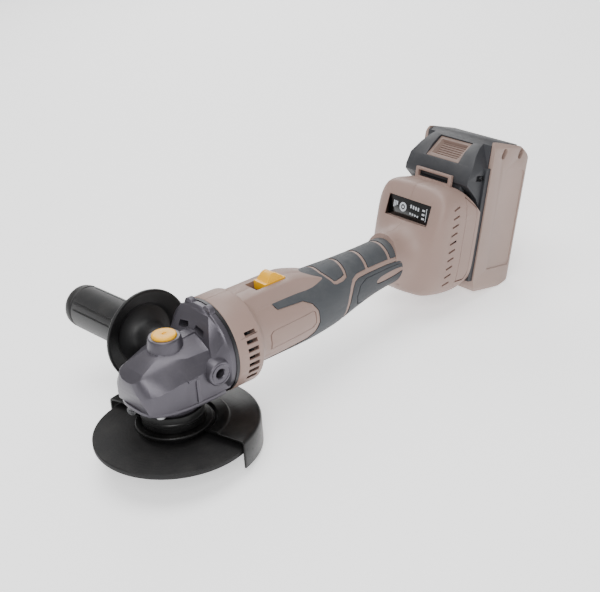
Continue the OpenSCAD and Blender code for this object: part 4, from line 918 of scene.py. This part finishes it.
def hollowCasing(skin, c):
    cut(skin, rod("ringRoom", 30, 54, 33, onMotor, 96))
    cut(skin, rod("motorRoom", 45, 103, 21.6, onMotor, 96))
    cut(skin, common(bodyLoft("gripRoom", -4, 3), block("half", (108.5, -50, 0), (400, 50, 200))))
    shoeRoom = shoeLoft("shoeRoom", -c["wall"], -c["wall"])
    cut(shoeRoom, block("rail", (-22.6, -27.4, -54.6), (20, 27.4, 70), onShoe))
    cut(skin, shoeRoom)
    # channel that the battery slides down, with its two ribs, and the slope beside it
    channel = block("channel", (-20, -24.4, -52), (20, 24.4, 70), onShoe)
    for s in (-1, 1):
        near, far = sideSpan(s, 21.4, 24.41)
        cut(channel, block("rib", (-12.4, near, -53), (-9, far, 71), onShoe))
    cut(skin, channel)
    cut(skin, prism("slope", [(-22, 19), (-5, 2.5), (10, 2.5), (10, 60), (-22, 60)], -60, 60, "y", onShoe))
    bridge = block("bridge", (-25, -18.5, 6), (-22, 18.5, 27.5), onShoe)
    cut(bridge, block("opening", (-26, -15.4, 20.4), (-21, 15.4, 25.2), onShoe))
    soften(bridge, 0.5, 40)
    return add(skin, bridge)


def buildInlets(c):
    inlets = []
    for s in (-1, 1):
        near, far = sideSpan(s, 16, 60)
        for i in range(-3, 4):  # in the ring
            low = 55 + i * c["ventPitch"]
            inlets.append(block("inlet", (43.5, near, low), (52.7, far, low + c["ventHeight"])))
        for i in range(10):  # in the shoe
            slot = [(-3.5, -0.8), (3.5, -0.8), (3.5, 0.8), (-3.5, 0.8)]
            corners = turned(slot, math.radians(24), -31, 6 - i * 6.6)
            inlets.append(prism("inlet", corners, *sideSpan(s, 30, 44), "y", onShoe))
    return join(inlets)


def buildCasing(c, r):
    skin = hollowCasing(buildSkin(c, r), c)
    cut(skin, block("displayWindow", (-60, -22.2, -10.5), (-42.2, 22.2, 5.7), onShoe))
    cut(skin, block("switchSlot", (75.5, -6.9, 58), (102.5, 6.9, 95)))
    cut(skin, buildInlets(c))
    for s in (-1, 1):  # outlines of the label field and of the shoe's long side panel
        tool = outlineTool(c["label"], 0.7, *sideSpan(s, 10, 40), "y", place)
        cut(tool, bodyLoft("keep", -0.7, 2))
        cut(skin, tool)
        tool = outlineTool(c["panel"], 1, *sideSpan(s, 30, 45), "y", onShoe)
        cut(tool, shoeLoft("keep", -0.9, 2))
        cut(skin, tool)
    return cut(skin, block("seam", (20, -c["seam"], -20), (330, c["seam"], 200)))


def splitHalves(whole, gap, edge, which, slotName, pieces):
    for s, name, node in pieces:
        near, far = sideSpan(s, gap, 90)
        half = common(copyOf(whole, name), block("side", (20, near, -40), (330, far, 200)))
        soften(half, edge, 42, 2)
        settle(half, which, "frame", slotName, node)
    bpy.data.objects.remove(whole)


splitHalves(buildCasing(casing, gripRubber), 0, 0.22, "beigePlastic", "beige_plastic",
            ((-1, "casingRight", "housing_right"), (1, "casingLeft", "housing_left")))
print("casing built")
splitHalves(buildRubber(gripRubber), 0.05, 0.35, "gripRubber", "grey_rubber",
            ((-1, "rubberRight", "rubber_right"), (1, "rubberLeft", "rubber_left")))
print("grip rubber built")

display = {"face": -45.2, "half": 22.1, "low": -10.4, "high": 5.6, "markDepth": 0.12}


def buildDisplay(d):
    face, front = d["face"], d["face"] - d["markDepth"]
    glass = block("displayGlass", (face, -d["half"], d["low"]), (face + 2.9, d["half"], d["high"]), onShoe)
    soften(glass, 0.5, 40)
    settle(glass, "displayGlass", "frame", "display", "display_panel")
    marks = []

    def bar(y0, y1, z0, z1):
        marks.append(block("mark", (front, y0, z0), (face + 0.1, y1, z1), onShoe))
    # slim bars of rising length at one end, rows of small fields, and a ring with a dot
    for i in range(3):
        bar(16.5 - i * 1.6, 17.5 - i * 1.6, -4 + i * 1.1, 1.2)
    for i in range(4):
        bar(-1.6 - i * 2.6, -0.2 - i * 2.6, -1 - 0.2 * i, 1.6 - 0.2 * i)
        bar(-1.6 - i * 2.6, -0.2 - i * 2.6, -6 - 0.2 * i, -4.6 - 0.2 * i)
    for i in range(3):
        bar(-15.6, -12.8, -7 + i * 3.2, -5.6 + i * 3.2)
    bar(-17.4, -16.9, -8, 2.4)
    for inner, outer, count in ((2.1, 3.6, 40), (0, 1, 24)):
        marks.append(lathe("mark", [(front, inner), (front, outer), (face + 0.1, outer), (face + 0.1, inner)],
                           lambda t, p, q: onShoe(t, 7.4 + p, -2 + q), count))
    soften(join(marks), 0, 40)
    marks[0].name = "displayMarks"
    settle(marks[0], "displayMark", "frame", "display")


buildDisplay(display)

switchKnob = {"x": 83.1, "length": 19, "half": 6.5, "bedTop": casing["bedTop"]}


def buildKnob(k):
    x, end, half, top = k["x"], k["x"] + k["length"], k["half"], k["bedTop"]
    sole = [(x, 0.5 - half), (x + 0.5, -half), (end - 0.5, -half), (end, 0.5 - half), (end, half - 0.5),
            (end - 0.5, half), (x + 0.5, half), (x, half - 0.5)]
    knob = prism("switchKnob", sole, 82, top + 1.1, "z")
    rows = ((2.6, 0.6), (4.4, 3.8), (6, 5.6), (7.6, 6.5), (9.4, 6.8), (11.2, 6.2), (13.4, 4.6), (16, 2.8),
            (18.2, 0.9))
    ridge = hullOf("ridge", [(x + a, s * (6.1 - b * 0.22), top + b) for a, b in rows for s in (-1, 1)]
                   + [(x + a, s * 6.2, top + 0.5) for a in (2.4, 18.4) for s in (-1, 1)])
    soften(ridge, 0.6, 20, 3)
    add(knob, ridge)
    soften(knob, 0.35, 36, 3)
    settle(knob, "yellowPlastic", "switch_set", "yellow_plastic", "switch_knob")


buildKnob(switchKnob)
print("display and knob built")

batteryPack = {
    "half": 36.5, "thick": 46, "capEdge": 0.8,
    "sideView": [(0, -54), (2.4, -59.6), (7, -64), (33, -61), (42, -56), (46, -50), (46, 38), (44.4, 42.6),
                 (39, 48), (32, 53), (4, 56), (0, 56)],
    "roomView": [(-1, -53), (8, -61.6), (32, -58.6), (41, -54), (44, -48), (44, 38), (-1, 38)],
    "panel": [(14, -45.4), (39, -43.4), (40.6, -41), (40.6, 32), (38.6, 34.4), (19, 36), (14, 31)],
}


def roundRect(low, high, r, steps=8):
    points = []
    left, right, bottom, top = low[0] + r, high[0] - r, low[1] + r, high[1] - r
    for quarter, (x, y) in enumerate(((right, top), (left, top), (left, bottom), (right, bottom))):
        for i in range(steps + 1):
            a = math.radians(90 * quarter + 90 * i / steps)
            points.append((x + r * math.cos(a), y + r * math.sin(a)))
    return points


def buildPack(p):
    half, thick = p["half"], p["thick"]
    case = prism("packCase", p["sideView"], -half, half, "y", onShoe)
    common(case, prism("ends", roundRect((-half, -66), (half, 58), 9), -20, 80, "x", onShoe))
    common(case, prism("plan", roundRect((-thick, -half), (thick, half), 6), -90, 90, "z", onShoe))
    soften(case, 1.1, 26, 3)
    room = prism("room", roundRect((-1, -34.4), (43.6, 34.4), 5), -61.4, 38.6, "z", onShoe)
    cut(case, common(room, prism("roomSide", p["roomView"], -40, 40, "y", onShoe)))
    cut(case, block("capRoom", (-1, -32.64, 39), (30.02, 32.64, 90), onShoe))
    notch = [(2.5 * signedPower(math.cos(a), 0.9), 4.4 * signedPower(math.sin(a), 0.8))
             for a in angles(0, 360, 20)]
    for s in (-1, 1):
        cut(case, prism("panel", p["panel"], *sideSpan(s, 35.6, 38), "y", onShoe))
        for v in (12, 32):
            plan = turned(notch, math.radians(-24), v, 47.4)
            cut(case, prism("notch", plan, *sideSpan(s, 33.4, 39), "y", onShoe))
    ridges = [block("ridge", (45.2, -30, -30 + i * 9), (48, 30, -27.4 + i * 9), onShoe) for i in range(7)]
    cut(case, join(ridges))
    soften(case, 0.3, 40, 2)
    settle(case, "packBeige", "battery", "pack_beige", "pack_case")


def buildCap(p):
    # the CAD piece with its flat faces merged and its edges softened
    cap = copyOf(nodes["pack_top"], "packTop")
    clean(cap.data, merge=2e-6, flat=1)
    soften(cap, p["capEdge"], 28)
    settle(cap, "packGrey", "battery", "pack_grey", "pack_top")


buildPack(batteryPack)
buildCap(batteryPack)

releaseButton = {"half": 16.5, "length": 20.4, "depth": 4.6, "ribs": 6, "ribPitch": 2.1, "springAt": 9}


def buildLatch(b):
    end, half = b["length"] / 2, b["half"]
    tray = block("latchTray", (-end, -half, -b["depth"]), (end, half, 0.6), onLatch)
    rim = [(-8, -14.2, 2), (8.2, -14.2, 2), (8.2, 14.2, 2), (-8, 14.2, 2)]
    bottom = [(-5.2, -11.6, -2.4), (6.6, -12.4, -2.4), (6.6, 12.4, -2.4), (-5.2, 11.6, -2.4)]
    cut(tray, hullOf("hollow", rim + bottom, onLatch))
    for i in range(b["ribs"]):
        a = -4.6 + i * b["ribPitch"]
        section = ((-0.5, -2.8), (0.5, -2.8), (0.25, -1.5), (-0.25, -1.5))
        add(tray, hullOf("rib", [(a + d, s * 11.9, n) for s in (-1, 1) for d, n in section], onLatch))
    for s in (-1, 1):
        cut(tray, rod("seat", -5.6, -3.4, 2.8, lambda t, p, q: onLatch(p, s * b["springAt"] + q, t), 32))
    soften(tray, 0.3, 36, 2)
    settle(tray, "latchBrown", "latch", "latch_brown", "latch_button")


buildLatch(releaseButton)
print("battery pack built")

sideHandle = {"end": 147, "r": 16.7, "flange": 34.3}


def buildHandle(h):
    end, r, f = h["end"], h["r"], h["flange"]
    neck = [(36.3, 4.05), (36.3, 9.2), (37, 9.7), (44, 10), (50.6, 10.4), (54, 13), (56.2, 18), (57.2, 22)]
    rim = [(56.4, 22.8), (54.8, 24.6), (54, 29), (52.2, 32), (51.7, 33.4), (52, f - 0.2), (53, f),
           (54.4, f - 0.4), (56.4, 31.8), (59, 29), (61, 24), (63.2, 19.6), (65, 17.6), (68, 16.9)]
    cap = [(72, r), (end - 15, r), (end - 14.4, r - 0.8), (end - 12.8, r - 0.9), (end - 12.2, r - 0.1),
           (end - 9, r - 0.1), (end - 6, r - 0.6), (end - 3.6, r - 2), (end - 1.8, r - 4.4),
           (end - 0.6, r - 7.6), (end - 0.1, 5.4), (end, 4), (end, 0)]
    grip = lathe("sideHandle", neck + rim + cap + [(76.6, 0), (76.6, 4.05)], onHandle, 144)
    channels = []
    for i in range(4):
        for side in (-1, 1):
            a = math.radians(i * 90 + 62 + side * 9)
            y, z = r * 1.01 * math.cos(a), r * 1.01 * math.sin(a)
            channels.append(lathe("channel", [(72, 0), (73.4, 0.8), (end - 20.4, 0.8), (end - 19, 0)],
                                  lambda t, p, q: onHandle(t, y + p, z + q), 14))
    cut(grip, join(channels))
    soften(grip, 0.12, 50, 1, 46)
    settle(grip, "handleBlack", "frame", "handle_black", "side_handle")


buildHandle(sideHandle)
print("side handle built")

# the tool stands on the guard's rim and the pack's lower edge, as (x, z)
floorLook = {"guardFoot": (60.4, -7.1), "packFoot": (296.3, 20.8), "under": 0.2, "reach": 6000, "glow": 0.8}


def buildFloor(f):
    (x0, z0), (x1, z1) = f["guardFoot"], f["packFoot"]
    slope = math.tan(math.atan2(z1 - z0, x1 - x0))
    reach = f["reach"]
    corners = [(x, y, z0 - f["under"] + (x - x0) * slope)
               for x, y in ((-reach, -reach), (reach, -reach), (reach, reach), (-reach, reach))]
    mesh = bpy.data.meshes.new("floor")
    mesh.from_pydata([place(*p) for p in corners], [], [(0, 1, 2, 3)])
    floor = newObject("floor", mesh)
    material = bpy.data.materials.new("paleFloor")
    material.use_nodes = True
    tree = material.node_tree
    surface = tree.nodes["Principled BSDF"]
    addNode(tree, "TexCoord", name="where")
    mix = addNode(tree, "Mix", data_type="RGBA")
    mix.inputs["A"].default_value = (0.9, 0.9, 0.9, 1)
    mix.inputs["B"].default_value = (0.93, 0.93, 0.93, 1)
    link(noise(tree, 3.0), mix.inputs["Factor"])
    link(mix.outputs["Result"], surface.inputs["Base Color"])
    surface.inputs["Roughness"].default_value = 0.9
    surface.inputs["Specular IOR Level"].default_value = 0.1
    surface.inputs["Emission Color"].default_value = (1, 1, 1, 1)
    surface.inputs["Emission Strength"].default_value = f["glow"]
    mesh.materials.append(material)


buildFloor(floorLook)

# place and aim in metres, size of the lamp, power
lights = {
    "above": ((-0.15, 0.1, 1.3), (0, 0, 0.05), 1.1, 14),
    "keySide": ((-0.9, -0.9, 0.9), (0, 0, 0.05), 0.8, 12),
    "farSide": ((0.6, 0.9, 0.8), (0, 0, 0.05), 0.8, 7),
}


def softLight(name, at, aim, size, power):
    light = bpy.data.lights.new(name, "AREA")
    light.shape, light.size, light.energy = "DISK", size, power
    obj = newObject(name, light)
    obj.location = Vector(at)
    obj.rotation_euler = (Vector(aim) - Vector(at)).to_track_quat("-Z", "Y").to_euler()


for name, values in lights.items():
    softLight(name, *values)

world = bpy.data.worlds.new("studio")
world.use_nodes = True
world.node_tree.nodes["Background"].inputs["Color"].default_value = (1, 1, 1, 1)
world.node_tree.nodes["Background"].inputs["Strength"].default_value = 0.5
bpy.context.scene.world = world

# at is in millimetres on the tool; heading, pitch and roll are in degrees
view = {"at": (-388.7, -617.6, 454.2), "heading": -39.45, "pitch": -25.97, "roll": -3.80, "lens": 73.34}


def buildCamera(v):
    camera = bpy.data.cameras.new("camera")
    camera.lens, camera.sensor_width = v["lens"], 36
    camera.clip_start, camera.clip_end = 0.01, 50
    obj = newObject("camera", camera)
    turns = ((v["heading"], "Z"), (90 + v["pitch"], "X"), (v["roll"], "Z"))
    obj.matrix_world = Matrix.Translation(place(*v["at"]))
    for angle, axis in turns:
        obj.matrix_world = obj.matrix_world @ Matrix.Rotation(math.radians(angle), 4, axis)
    bpy.context.scene.camera = obj


buildCamera(view)
print("floor, light and camera set")
